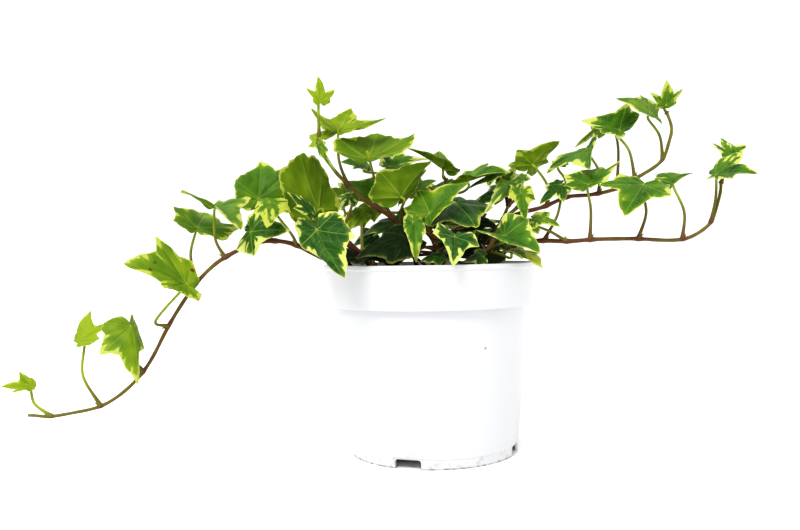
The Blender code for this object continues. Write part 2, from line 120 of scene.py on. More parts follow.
SHOOTS = {
    "left_runner": Shoot(
        route=[
            (-37, 4, -4), (-43, -7, 4), (-49, -15, 3), (-53, -17, 4), (-63, -18, 10), (-73, -18, 12),
            (-83, -18, 11), (-96, -18, 5), (-103, -18, 0), (-111, -18, -8), (-123, -19, -26),
            (-129, -19, -38), (-135, -20, -48), (-144, -20, -57), (-155, -21, -64), (-167, -21, -66),
            (-178, -22, -68), (-185, -22, -67), (-189, -22, -67),
        ],
        leaves=[
            Leaf(4, (-65, -22, 15), (-73, -32, 29), (-73, -40, 17), (-63, -33, 24), (-80, -35, 24), "golden"),
            Leaf(5, (-80, 0, 16), (-84, 3, 33), (-84, 14, 53), (-70, 10, 46), (-95, 4, 42), "green", "broad"),
            Leaf(6, (-84, -23, 12), (-83, -25, 16), (-64, -31, 16), (-75, -18, 27), None, "marbled"),
            Leaf(
                7, (-101, -17, 13), (-101, -16, 28), (-84, -40, 17), (-114, -22, 35), (-86, -10, 31),
                "pale",
            ),
            Leaf(9, (-114, -12, 6), (-112, -7, 19), (-112, 16, 28), (-91, -1, 18), (-123, -6, 29), "pale"),
            Leaf(
                10, (-128, -23, -24), (-112, -29, -7), (-139, -38, 4), (-126, -26, 14),
                (-119, -40, -9), "spotted",
            ),
            Leaf(
                12, (-142, -21, -38), (-138, -28, -26), (-132, -38, -51), (-150, -36, -38),
                (-135, -22, -37), "bright",
            ),
            Leaf(
                14, (-163, -21, -49), (-164, -20, -33), (-145, -20, -24), (-162, -12, -20),
                (-152, -27, -32), "young", "arrow",
            ),
            Leaf(
                16, (-185, -22, -62), (-187, -21, -54), (-199, -26, -53), (-194, -18, -47),
                (-192, -30, -55), "young", "arrow",
            ),
        ],
    ),
    "upright_shoot": Shoot(
        route=[
            (-6, 0, -4), (-10, -8, 9), (-14, -11, 16), (-18, -13, 22), (-25, -14, 26), (-33, -15, 32),
            (-39, -16, 38), (-45, -17, 44), (-50, -18, 53), (-52, -19, 57), (-51, -21, 61),
        ],
        leaves=[
            Leaf(
                2, (-14, -18, 25), (-14, -22, 31), (0, -26, 48), (-23, -30, 42), (-2, -13, 43),
                "olive", "broad",
            ),
            Leaf(
                3, (-25, -18, 36), (-29, -20, 49), (-25, 4, 65), (-7, -14, 61), (-43, -16, 60),
                "olive", "broad", True,
            ),
            Leaf(4, (-25, 0, 27), (-28, 1, 34), (-43, 9, 42), (-39, 1, 32), (-27, 9, 43), "olive"),
            Leaf(
                6, (-43, -13, 50), (-43, -13, 63), (-38, 6, 77), (-20, -8, 71), (-57, -4, 77),
                "bright", "arrow", True,
            ),
            Leaf(
                8, (-51, -21, 54), (-51, -25, 56), (-43, -33, 42), (-44, -34, 50), (-49, -27, 47),
                "pale", "spear",
            ),
            Leaf(
                10, (-51, -24, 68), (-50, -25, 75), (-51, -24, 86), (-56, -27, 81), (-43, -22, 81),
                "young", "star",
            ),
        ],
        more=[
            Leaf(9, (-51, -15, 59), (-51, -12, 60), (-58, -2, 63), (-44, -6, 65), (-57, -12, 55), "young"),
        ],
    ),
    "right_upper_runner": Shoot(
        route=[
            (22, 8, -4), (28, 12, 11), (40, 14, 22), (50, 13, 25), (59, 12, 27), (69, 12, 32),
            (77, 11, 32), (85, 11, 33), (94, 10, 35), (103, 9, 40), (110, 8, 44), (117, 8, 49),
            (119, 7, 57), (121, 7, 63), (120, 7, 68), (118, 7, 73),
        ],
        leaves=[
            Leaf(4, (59, 8, 37), (50, 2, 47), (66, 8, 60), (42, -8, 53), (61, 16, 49), "pale"),
            Leaf(7, (86, 13, 44), (79, 8, 55), (76, -10, 43), (58, 0, 45), (83, 6, 60), "green_edged"),
            Leaf(8, (96, 14, 55), (94, 22, 69), (74, 16, 57), (83, 10, 67), (90, 27, 62), "dark_edged"),
            Leaf(9, (100, 9, 54), (95, 8, 64), (75, 2, 68), (101, 15, 79), (82, -5, 61), "green_edged"),
            Leaf(11, (115, 8, 61), (111, 8, 72), (91, 2, 78), (109, 18, 84), (105, -4, 69), "pale"),
            Leaf(
                15, (118, 7, 74), (118, 7, 76), (118, 6, 88), (128, 10, 85), (109, 4, 82),
                "spotted", "star",
            ),
        ],
        more=[
            Leaf(5, (69, 13, 40), (65, 13, 48), (58, 6, 43), (68, 6, 46), (64, 20, 50), "bright"),
        ],
    ),
    "right_lower_runner": Shoot(
        route=[
            (29, -4, -4), (36, -6, 6), (44, -9, 9), (53, -12, 10), (64, -13, 9), (75, -13, 10),
            (86, -13, 10), (98, -13, 10), (108, -13, 9), (119, -13, 9), (126, -13, 12), (133, -12, 17),
            (135, -12, 24), (138, -10, 31), (139, -8, 37),
        ],
        leaves=[
            Leaf(3, (61, -6, 22), (64, 0, 37), (52, -8, 27), (57, 3, 36), (63, -12, 28), "dark_edged"),
            Leaf(4, (56, -15, 14), (49, -14, 20), (60, -20, 16), (57, -8, 23), None, "golden"),
            Leaf(5, (76, -11, 24), (75, -10, 36), (84, 7, 46), (92, -5, 47), (63, -13, 41), "green_edged"),
            Leaf(7, (101, -15, 22), (99, -18, 35), (84, -38, 20), (76, -27, 34), (107, -30, 28), "green"),
            Leaf(9, (121, -9, 22), (117, -5, 36), (133, 8, 43), (114, 10, 42), (106, -12, 37), "green"),
            Leaf(
                11, (134, -14, 28), (133, -17, 39), (148, -28, 38), (148, -12, 50), (134, -34, 36),
                "green_edged",
            ),
            Leaf(
                14, (142, -6, 42), (145, -5, 49), (144, 4, 59), (154, -2, 55), (138, 2, 56),
                "green_edged", "star",
            ),
        ],
    ),
    "crown_left_shoot": Shoot(
        route=[(-28, -14, -4), (-32, -22, 5), (-38, -26, 10), (-42, -26, 14), (-45, -22, 18)],
        leaves=[
            Leaf(
                1, (-43, -36, 12), (-51, -43, 16), (-38, -61, -5), (-57, -40, 9), (-34, -54, 13),
                "dark_edged", "broad",
            ),
            Leaf(
                2, (-47, -31, 14), (-54, -31, 24), (-65, -33, 33), (-60, -27, 33), (-62, -37, 26),
                "dark_edged",
            ),
            Leaf(
                3, (-49, -21, 20), (-53, -14, 26), (-60, -20, 52), (-66, -25, 35), (-51, -8, 43),
                "olive", "round", True,
            ),
        ],
        more=[
            Leaf(4, (-41, -6, 24), (-42, 4, 32), (-50, 2, 37), (-43, 12, 40), None, "bright"),
            Leaf(3, (-38, -12, 26), (-38, -3, 33), (-44, -7, 26), (-45, -1, 32), (-36, -7, 27), "marbled"),
            Leaf(1, (-33, -8, 17), (-33, 0, 24), (-41, -4, 16), (-42, 4, 25), (-32, -4, 17), "bright"),
            Leaf(0, (-27, -2, 7), (-27, 6, 14), (-39, 2, 9), (-34, 12, 17), (-34, -4, 6), "dark"),
            Leaf(0, (-30, -8, 1), (-33, 2, 3), (-44, -18, 2), (-44, 2, 8), (-30, -16, -1), "shade", "broad"),
        ],
    ),
    "crown_front_shoot": Shoot(
        route=[(4, -16, -4), (2, -22, 5), (0, -25, 12), (-2, -23, 18), (-4, -20, 24)],
        leaves=[
            Leaf(
                1, (-1, -30, 7), (-11, -34, 12), (-35, -44, 3), (-22, -28, 15), (-18, -48, 1),
                "shade", "broad",
            ),
            Leaf(1, (7, -36, 9), (9, -43, 12), (7, -60, -1), (-1, -48, 14), (19, -50, 8), "dark_edged"),
            Leaf(
                2, (-5, -31, 16), (-9, -36, 19), (-8, -47, 1), (-1, -41, 12), (-15, -42, 13),
                "green", "spear",
            ),
            Leaf(2, (7, -16, 20), (11, -7, 29), (20, -29, 16), (0, -31, 17), (29, -4, 25), "dark", "broad"),
            Leaf(4, (-2, -23, 24), (-1, -26, 23), (18, -20, 38), (-6, -14, 35), (10, -32, 27), "olive"),
        ],
        more=[
            Leaf(
                1, (-7, -21, 4), (-12, -22, 7), (-35, -35, 1), (-24, -15, 7), (-21, -42, 0),
                "shade", "broad",
            ),
            Leaf(1, (-8, -8, 6), (-11, 0, 9), (-24, -5, 5), (-21, 8, 11), (-17, -12, 3), "shade", "broad"),
            Leaf(3, (-9, -6, 17), (-15, 2, 20), (-36, -4, 13), (-25, 12, 21), (-27, -10, 12), "dark"),
            Leaf(2, (11, -28, 11), (17, -30, 14), (-1, -36, 9), (9, -20, 15), (7, -44, 7), "shade"),
            Leaf(1, (4, -27, 1), (5, -30, 4), (-6, -38, 1), (0, -24, 6), (1, -42, -1), "dark"),
            Leaf(1, (14, -30, 0), (22, -35, 3), (12, -42, 1), (19, -30, 6), (18, -46, -2), "dark_edged"),
            Leaf(1, (20, -10, 2), (31, -7, 5), (19, -14, -1), (22, -1, 6), (28, -18, -2), "shade", "broad"),
            Leaf(3, (-9, -14, 14), (-14, -8, 17), (-13, -4, 28), (-18, -2, 24), (-8, -6, 24), "dark"),
        ],
    ),
    "crown_middle_shoot": Shoot(
        route=[(1, 16, -4), (3, 16, 11), (6, 14, 24), (7, 10, 35), (9, 8, 42)],
        leaves=[
            Leaf(2, (-8, 12, 37), (-19, 8, 48), (2, 18, 52), (-13, 18, 58), (-10, 0, 46), "marbled"),
            Leaf(2, (-1, 4, 30), (-8, -2, 35), (4, -1, 41), (-4, 8, 42), (1, -9, 34), "olive"),
            Leaf(3, (15, 0, 34), (18, -7, 39), (39, -9, 43), (29, 4, 49), (17, -14, 41), "green"),
            Leaf(4, (7, 5, 43), (7, 4, 46), (-11, 8, 57), (6, 18, 56), (8, -3, 51), "olive"),
        ],
        more=[
            Leaf(2, (-15, 10, 25), (-28, 8, 28), (-36, 2, 20), (-36, 10, 28), (-27, 0, 20), "bright"),
            Leaf(3, (-22, 12, 34), (-40, 14, 37), (-49, 8, 33), (-46, 18, 41), (-43, 6, 32), "marbled"),
            Leaf(3, (-17, 14, 44), (-31, 16, 49), (-44, 12, 51), (-39, 22, 55), (-38, 8, 47), "green_edged"),
            Leaf(3, (-12, 12, 26), (-23, 12, 29), (-31, 5, 24), (-29, 17, 31), (-25, 4, 23), "bright"),
            Leaf(3, (5, 16, 35), (4, 20, 38), (20, 16, 40), (14, 26, 43), (12, 10, 35), "dark"),
            Leaf(1, (2, 17, 15), (1, 18, 20), (-16, 10, 16), (-7, 24, 24), (-11, 6, 12), "dark"),
            Leaf(2, (2, 18, 24), (0, 20, 27), (-13, 12, 23), (-6, 25, 30), (-10, 8, 20), "green"),
            Leaf(1, (9, 14, 8), (11, 13, 11), (25, 7, 3), (21, 22, 12), (13, 1, 2), "shade", "broad"),
            Leaf(0, (-9, 20, 4), (-15, 22, 9), (-29, 18, 5), (-22, 28, 13), (-23, 12, 3), "shade", "broad"),
            Leaf(1, (20, 17, 10), (30, 18, 13), (45, 12, 6), (41, 26, 15), (37, 8, 5), "dark", "broad"),
            Leaf(1, (14, 16, 17), (20, 16, 20), (36, 12, 17), (30, 22, 24), (27, 8, 14), "shade"),
            Leaf(0, (12, 24, 3), (14, 28, 7), (27, 29, 3), (17, 36, 9), (22, 21, 1), "shade", "broad"),
        ],
    ),
    "crown_right_shoot": Shoot(
        route=[(20, -20, -4), (25, -24, 5), (29, -24, 12), (33, -20, 20), (37, -14, 28)],
        leaves=[
            Leaf(
                1, (28, -33, 8), (31, -38, 12), (45, -53, 4), (42, -36, 20), (24, -44, 12),
                "green_edged", "broad",
            ),
            Leaf(1, (30, -29, 4), (35, -33, 5), (46, -51, -2), (48, -34, 4), (37, -47, 2), "golden"),
            Leaf(3, (42, -19, 27), (41, -22, 32), (41, -32, 18), (35, -27, 30), (48, -24, 29), "golden"),
            Leaf(3, (43, -2, 28), (42, 8, 38), (20, 2, 26), (30, 14, 38), (31, -4, 27), "dark_edged"),
            Leaf(
                4, (42, -5, 31), (41, -7, 38), (22, -35, 20), (34, -24, 26), (25, -11, 32),
                "green_edged", "spear",
            ),
        ],
        more=[
            Leaf(4, (35, -8, 35), (36, 0, 39), (43, 4, 48), (34, -4, 44), (45, 6, 43), "marbled"),
            Leaf(4, (42, 0, 37), (45, 8, 42), (44, 0, 34), (40, 6, 40), (50, 6, 40), "green_edged"),
            Leaf(
                4, (35, -8, 37), (33, -6, 42), (19, -3, 35), (26, 1, 44), (27, -9, 36),
                "green_edged", "arrow",
            ),
            Leaf(2, (34, -9, 11), (37, 0, 14), (48, -6, 8), (47, 6, 15), (39, -8, 7), "dark", "broad"),
            Leaf(1, (24, -12, 8), (24, -5, 11), (11, -8, 5), (19, 4, 13), (15, -14, 3), "shade", "broad"),
        ],
    ),
    "crown_back_shoot": Shoot(
        route=[(8, 30, -4), (6, 32, 8), (4, 32, 18), (0, 28, 28)],
        leaves=[
            Leaf(1, (-8, 34, 8), (-20, 34, 12), (-34, 60, 4), (-38, 40, 10), (-12, 52, 6), "green_edged"),
            Leaf(
                1, (20, 32, 14), (44, 30, 20), (62, 50, 14), (36, 46, 20), (60, 34, 20),
                "dark_edged", "broad",
            ),
            Leaf(2, (10, 35, 20), (16, 38, 22), (22, 63, 12), (5, 51, 18), (34, 48, 20), "green_edged"),
            Leaf(3, (-4, 26, 34), (-6, 26, 36), (-14, 44, 46), (-22, 30, 42), (4, 38, 42), "bright"),
        ],
    ),
}


# Settings


class IvyLeafSettings(bpy.types.PropertyGroup):
    thickness: FloatProperty(
        name="Blade thickness", description="Thickness of a leaf blade", default=0.42 * MM, unit="LENGTH"
    )
    cup: FloatProperty(
        name="Cup", description="Arch of a blade along its midrib, as a share of its length", default=0.05
    )
    quilting: FloatProperty(
        name="Quilting", description="How far a blade swells between its veins", default=0.02
    )
    waviness: FloatProperty(
        name="Waviness", description="Height of the waves along a blade's edge", default=0.034
    )
    teeth: FloatProperty(
        name="Teeth", description="Unevenness of a blade's outline, as a share of its reach", default=0.022
    )
    deep: FloatVectorProperty(
        name="Deep green", description="Old leaves", subtype="COLOR", default=(0.012, 0.06, 0.006)
    )
    middle: FloatVectorProperty(
        name="Leaf green", description="Grown leaves", subtype="COLOR", default=(0.065, 0.17, 0.009)
    )
    bright: FloatVectorProperty(
        name="Bright green", description="Young leaves", subtype="COLOR", default=(0.31, 0.42, 0.02)
    )
    cream: FloatVectorProperty(
        name="Cream", description="Pale leaf edges", subtype="COLOR", default=(0.56, 0.6, 0.22)
    )
    gold: FloatVectorProperty(
        name="Gold", description="Yellow leaf edges", subtype="COLOR", default=(0.46, 0.48, 0.05)
    )
    brown: FloatVectorProperty(
        name="Dry brown", description="Flecks and dry tips", subtype="COLOR", default=(0.13, 0.035, 0.01)
    )
    underside: FloatVectorProperty(
        name="Underside", description="Back of a leaf", subtype="COLOR", default=(0.08, 0.16, 0.004)
    )
    glow: FloatVectorProperty(
        name="Glow", description="Light through a leaf", subtype="COLOR", default=(0.34, 0.45, 0.012)
    )
    cream_glow: FloatVectorProperty(
        name="Cream glow", description="Light through a pale edge", subtype="COLOR", default=(0.8, 0.85, 0.2)
    )


class IvyVineSettings(bpy.types.PropertyGroup):
    stem_radius: FloatProperty(
        name="Stem radius", description="Radius of a stem at the soil", default=1.15 * MM, unit="LENGTH"
    )
    stalk_radius: FloatProperty(
        name="Stalk radius", description="Radius of a leaf stalk", default=0.68 * MM, unit="LENGTH"
    )
    node_swell: FloatProperty(
        name="Node swell", description="Extra radius at a leaf node, as a share", default=0.42
    )
    bark: FloatVectorProperty(
        name="Bark", description="Old stem", subtype="COLOR", default=(0.1, 0.037, 0.014)
    )
    olive: FloatVectorProperty(
        name="Olive", description="Stem between old and new", subtype="COLOR", default=(0.115, 0.1, 0.01)
    )
    fresh: FloatVectorProperty(
        name="Fresh green", description="New stem and stalks", subtype="COLOR", default=(0.24, 0.3, 0.015)
    )


class IvyPotSettings(bpy.types.PropertyGroup):
    wall: FloatProperty(name="Wall", description="Wall thickness", default=1.3 * MM, unit="LENGTH")
    collar_height: FloatProperty(
        name="Collar height", description="Height of the band under the rim", default=20 * MM, unit="LENGTH"
    )
    foot_radius: FloatProperty(
        name="Foot radius", description="Outer radius at the foot", default=40.6 * MM, unit="LENGTH"
    )
    notch_width: FloatProperty(
        name="Notch width", description="Width of a foot notch", default=12.4 * MM, unit="LENGTH"
    )
    notch_height: FloatProperty(
        name="Notch height", description="Height of a foot notch", default=4.4 * MM, unit="LENGTH"
    )
    white: FloatVectorProperty(
        name="White", description="Moulded plastic", subtype="COLOR", default=(0.555, 0.56, 0.575)
    )
    grime: FloatVectorProperty(
        name="Grime", description="Soil splashes at the foot", subtype="COLOR", default=(0.3, 0.26, 0.14)
    )


class IvySoilSettings(bpy.types.PropertyGroup):
    crumbs: IntProperty(name="Crumbs", description="Loose crumbs on the soil", default=620, min=1)
    crumb_size: FloatProperty(
        name="Crumb size", description="Half the length of a large crumb", default=1.5 * MM, unit="LENGTH"
    )
    peat: FloatVectorProperty(
        name="Peat", description="Dark potting mix", subtype="COLOR", default=(0.011, 0.0085, 0.006)
    )
    chips: FloatVectorProperty(
        name="Bark chips", description="Paler bits", subtype="COLOR", default=(0.075, 0.045, 0.022)
    )


class IvyStageSettings(bpy.types.PropertyGroup):
    camera_offset: FloatVectorProperty(
        name="Camera offset",
        description="Camera from the pot's foot",
        subtype="TRANSLATION",
        unit="LENGTH",
        default=(-15 * MM, -398 * MM, 99 * MM),
    )
    camera_pitch: FloatProperty(
        name="Camera pitch",
        description="How far it looks down",
        subtype="ANGLE",
        default=math.radians(1.265),
    )
    camera_roll: FloatProperty(
        name="Camera roll",
        description="Turn about its line of sight",
        subtype="ANGLE",
        default=math.radians(1.0),
    )
    lens: FloatProperty(
        name="Focal length", description="Millimetres on a 36 mm sensor", default=36.675, min=1.0
    )
    sky_light: FloatProperty(name="Sky light", description="Strength of the white surroundings", default=1.06)
    key_light: FloatProperty(
        name="Key light", description="Strength of the soft light from above", default=2.1
    )


SETTINGS = {
    "ivy_leaf": IvyLeafSettings,
    "ivy_vine": IvyVineSettings,
    "ivy_pot": IvyPotSettings,
    "ivy_soil": IvySoilSettings,
    "ivy_stage": IvyStageSettings,
}


# Surfaces


def closed_skin(rings, start, end):
    """Points and faces of a grid of rings, (rows, columns, 3), that closes on a point at each end."""
    rows, columns = rings.shape[:2]
    points = np.concatenate([start[None], rings.reshape(-1, 3), end[None]])
    here = 1 + np.arange(rows * columns).reshape(rows, columns)
    beside = np.roll(here, -1, axis=1)
    quads = np.stack([here[:-1], beside[:-1], beside[1:], here[1:]], -1).reshape(-1, 4)
    first = np.stack([np.zeros(columns, int), beside[0], here[0]], -1)
    last = np.stack([np.full(columns, len(points) - 1), here[-1], beside[-1]], -1)
    triangles = np.concatenate([first, last])
    if enclosed(points, quads, triangles) < 0:
        quads, triangles = quads[:, ::-1], triangles[:, ::-1]
    return points, quads, triangles


def enclosed(points, quads, triangles):
    """Signed volume inside closed faces: a sixth of the triple products of their triangles."""
    halves = np.concatenate([quads[:, :3], quads[:, [0, 2, 3]], triangles])
    a, b, c = (points[halves[:, i]] - points[0] for i in range(3))
    return (np.cross(a, b) * c).sum() / 6


def joined(skins):
    """Several skins as one, each with its own points."""
    starts = np.cumsum([0] + [len(points) for points, _, _ in skins[:-1]])
    points = np.concatenate([skin[0] for skin in skins])
    quads = np.concatenate([skin[1] + start for skin, start in zip(skins, starts)])
    triangles = np.concatenate([skin[2] + start for skin, start in zip(skins, starts)])
    return points, quads, triangles


def new_piece(name, skin, material, attributes=None, sharp_degrees=60.0):
    """A mesh object from a skin, with point attributes, that rides on the plant's body."""
    points, quads, triangles = skin
    mesh = bpy.data.meshes.new(name)
    corners = np.concatenate([quads.ravel(), triangles.ravel()])
    starts = np.concatenate(
        [np.arange(len(quads)) * 4, len(quads) * 4 + np.arange(len(triangles)) * 3]
    )
    mesh.vertices.add(len(points))
    mesh.vertices.foreach_set("co", points.astype(np.float32).ravel())
    mesh.loops.add(len(corners))
    mesh.loops.foreach_set("vertex_index", corners.astype(np.int32))
    mesh.polygons.add(len(starts))
    mesh.polygons.foreach_set("loop_start", starts.astype(np.int32))
    mesh.update(calc_edges=True)
    for label, values in (attributes or {}).items():
        kind, key = ("FLOAT_VECTOR", "vector") if values.ndim == 2 else ("FLOAT", "value")
        layer = mesh.attributes.new(label, kind, "POINT")
        layer.data.foreach_set(key, values.astype(np.float32).ravel())
    mesh.shade_smooth()
    mesh.set_sharp_from_angle(angle=math.radians(sharp_degrees))
    mesh.materials.append(material)
    piece = bpy.data.objects.new(name, mesh)
    bpy.context.scene.collection.objects.link(piece)
    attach(piece, BODY)
    return piece


def unit(vectors):
    """Each vector at length one."""
    return vectors / np.maximum(np.linalg.norm(vectors, axis=-1, keepdims=True), 1e-12)


def placed(points):
    """Plant points, in millimetres from the middle of the rim, in the frame."""
    return RIM_MIDDLE + np.asarray(points, float) * MM


def smooth_path(corners, steps):
    """Catmull-Rom curve: in each span the cubic between two corners whose slope at a corner is half
    the chord between that corner's neighbours, read at even steps."""
    corners = np.asarray(corners, float)
    ends = np.vstack([2 * corners[0] - corners[1], corners, 2 * corners[-1] - corners[-2]])
    before, here, there, after = (part[:, None] for part in (ends[:-3], ends[1:-2], ends[2:-1], ends[3:]))
    t = (np.arange(steps) / steps)[None, :, None]
    spans = (
        2 * here
        + (there - before) * t
        + (2 * before - 5 * here + 4 * there - after) * t**2
        + (3 * here - 3 * there + after - before) * t**3
    ) / 2
    return np.vstack([spans.reshape(-1, 3), corners[-1:]])


def tube_skin(path, radii, sides, ridges=0.0, phase=0.0):
    """A round profile carried along a path. Each ring stands square to the path, turned from the one
    direction that the path runs along least. Low ridges run along it as a cosine of the angle."""
    along = unit(np.gradient(path, axis=0))
    least = np.linalg.svd(along)[2][-1]
    side = unit(np.cross(along, least))
    over = np.cross(side, along)
    angle = np.arange(sides) * math.tau / sides
    ridge_count, dome = 3, 0.5
    radius = np.asarray(radii)[:, None] * (1 + ridges * np.cos(ridge_count * angle + phase))[None, :]
    rings = (
        path[:, None]
        + (radius * np.cos(angle))[..., None] * side[:, None]
        + (radius * np.sin(angle))[..., None] * over[:, None]
    )
    start = path[0] - along[0] * radii[0] * dome
    end = path[-1] + along[-1] * radii[-1] * dome
    return closed_skin(rings, start, end)


def spread_along(skin_rows, columns):
    """A value for each row of a skin, repeated for its ring, with its first and last at the poles."""
    return np.concatenate([skin_rows[:1], np.repeat(skin_rows, columns), skin_rows[-1:]])


# Blades


def outline_reach(shape, degrees):
    """How far a blade's edge is from its stalk in each direction. From a tip (or the cleft) to the bay
    beside it, the reach goes from the tip's to the bay's as (1 - share of the way) ** 1.5, so tips
    are pointed and bays are round."""
    sharpness = 1.5
    turn = np.abs(degrees)
    reach = np.zeros_like(turn)
    for number, ((angle_a, reach_a), (angle_b, reach_b)) in enumerate(zip(shape[:-1], shape[1:])):
        inside = (turn >= angle_a) & (turn <= angle_b)
        share = (turn[inside] - angle_a) / (angle_b - angle_a)
        if number % 2 == 0:
            reach[inside] = reach_b + (reach_a - reach_b) * (1 - share) ** sharpness
        else:
            reach[inside] = reach_a + (reach_b - reach_a) * share**sharpness
    return reach


def outline_directions(shape):
    """Directions round the blade, closer together near each tip."""
    crowding = 1.5
    counts = (12, 7, 8, 6, 7, 8)
    half = []
    for number, ((angle_a, _), (angle_b, _)) in enumerate(zip(shape[:-1], shape[1:])):
        share = np.arange(counts[number]) / counts[number]
        share = share**crowding if number % 2 == 0 else 1 - (1 - share) ** crowding
        half.append(angle_a + (angle_b - angle_a) * share)
    half = np.concatenate(half)
    return np.concatenate([half, [180.0], -half[:0:-1]])


def vein_distance(across, along):
    """Distance to the nearest main vein. The veins are rays from the stalk at VEIN_ANGLES."""
    nearest = np.full(across.shape, np.inf)
    for degrees in VEIN_ANGLES:
        sine, cosine = math.sin(math.radians(degrees)), math.cos(math.radians(degrees))
        ahead = np.abs(across) * sine + along * cosine
        off = np.abs(np.abs(across) * cosine - along * sine)
        off = np.where(ahead > 0, off, np.hypot(across, along))
        nearest = np.minimum(nearest, off)
    return nearest


def blade_frame(leaf):
    """Base, midrib and the vectors of the two halves. A half's vector takes a unit across to where
    its side lobe's tip comes out right."""
    base, tip, lobe = placed(leaf.base), placed(leaf.tip), placed(leaf.lobe)
    midrib = tip - base
    turn = math.radians(LOBE_ANGLE)
    forward = midrib * LOBE_REACH * math.cos(turn)
    width = LOBE_REACH * math.sin(turn)
    half = (lobe - base - forward) / width
    if leaf.other is None:
        other = 2 * midrib * (half @ midrib) / (midrib @ midrib) - half
    else:
        other = (placed(leaf.other) - base - forward) / width
    upper = unit(np.cross(half - other, midrib))
    upward_share = 0.35
    if (upper[2] - upward_share * upper[1] < 0) != leaf.turned:
        upper = -upper
    return base, midrib, half, other, upper


def blade_skin(leaf, sizes, rng):
    """A blade as a thin closed lens. With v the share of the way from stalk to edge and u the
    direction, a point of the middle surface is base + midrib * along + mean of the halves * |across|
    + half their difference * across + upper * height; height is the cup's arch, waves that grow with
    v cubed, and swelling away from the veins. Both faces stand half the thickness off it along its
    normal, and meet at the edge."""
    base, midrib, half, other, upper = blade_frame(leaf)
    length = np.linalg.norm(midrib)
    rings = 13
    degrees = outline_directions(SHAPES[leaf.shape])
    turn = np.radians(degrees)
    reach = outline_reach(SHAPES[leaf.shape], degrees)
    waves, phases = np.array([5, 11, 19, 31]), rng.uniform(0, math.tau, 4)
    shares = np.array([1.0, 0.8, 0.8, 0.6])
    tooth = (np.sin(turn[:, None] * waves + phases) * shares).sum(1)
    calm = np.clip(1 - np.abs(degrees) / 180, 0, 1) ** 0.5
    reach = reach * (1 + sizes.teeth * tooth * calm)
    v = (np.arange(1, rings + 1) / rings) ** 0.85
    across = v[:, None] * (reach * np.sin(turn))[None]
    along = v[:, None] * (reach * np.cos(turn))[None]

    crease = 0.035
    fold = np.sqrt(across**2 + crease**2) - crease
    lift = sizes.cup * (4 * along * (1 - along) - 2 * across**2)
    lift = lift + sizes.waviness * v[:, None] ** 3 * np.sin(turn * 4 + phases[0])[None]
    lift = lift + sizes.waviness * 0.6 * v[:, None] ** 4 * np.sin(turn * 9 + phases[1])[None]
    off_vein = vein_distance(across, along)
    vein_width, swell_width = 0.016, 0.07
    groove = np.exp(-((off_vein / vein_width) ** 2)) * (1 - v[:, None] ** 2)
    swell = (1 - np.exp(-((off_vein / swell_width) ** 2))) * (1 - v[:, None] ** 4)
    lift = lift + sizes.quilting * (swell - 0.5 * groove)
    middle = (
        base
        + along[..., None] * midrib
        + fold[..., None] * (half + other) / 2
        + across[..., None] * (half - other) / 2
        + lift[..., None] * length * upper
    )
    closed = np.concatenate([middle[:, -1:], middle, middle[:, :1]], 1)
    outward = np.gradient(np.concatenate([np.tile(base, (1, closed.shape[1], 1)), closed]), axis=0)[1:]
    normal = unit(np.cross(np.gradient(closed, axis=1), outward)[:, 1:-1])
    normal = normal * np.sign((normal * upper).sum(-1, keepdims=True) + 1e-9)
    taper = (1 - v**8)[:, None, None] * sizes.thickness / 2
    rib = sizes.thickness * 0.5 * groove[..., None]
    top = middle + normal * taper
    under = middle - normal * (taper + rib * (1 - v[:, None, None] ** 2))
    rows = np.concatenate([top, under[-2::-1]])
    skin = closed_skin(rows, base + upper * sizes.thickness / 2, base - upper * sizes.thickness / 2)

    by_the_stalk = 150
    outer = np.abs(degrees) < by_the_stalk
    edge = np.stack([across[-1], along[-1]], -1)[outer]
    spots = np.stack([across, along], -1).reshape(-1, 1, 2)
    to_edge = np.linalg.norm(spots - edge[None], axis=-1).min(1).reshape(across.shape)
    to_middle = np.abs(reach).min()
    place = np.stack([across, along, to_edge], -1)
    place = np.concatenate([place, place[-2::-1]])
    place = np.concatenate([[[0, 0, to_middle]], place.reshape(-1, 3), [[0, 0, to_middle]]])
    count = rings * len(degrees)
    under_side = np.concatenate([np.zeros(1 + count), np.ones(len(place) - 1 - count)])
    look = LOOKS[leaf.look]
    whole = np.ones((len(place), 1))
    drift = rng.uniform(-1, 1, 3) * (0.05, 0.1, 0.05)
    return skin, {
        "leaf_place": place,
        "leaf_look": whole * (look.cream + drift[0], look.gold + drift[1], look.youth + drift[2]),
        "leaf_mark": whole * (look.spots, rng.uniform(0, 9), 0) + np.outer(under_side, (0, 0, 1)),
    }


# Vines


def stalk_path(leaf, node):
    """From the stem's node round the knee and up to the blade from its underside. A knee close to the
    blade is left out."""
    steps, approach_length, close_knee = 10, 3 * MM, 4 * MM
    base, _, _, _, upper = blade_frame(leaf)
    knee = placed(leaf.knee)
    approach = base - upper * approach_length
    if np.linalg.norm(knee - base) < close_knee:
        return smooth_path([node, (node + approach) / 2, base], steps)
    return smooth_path([node, knee, approach, base], steps)


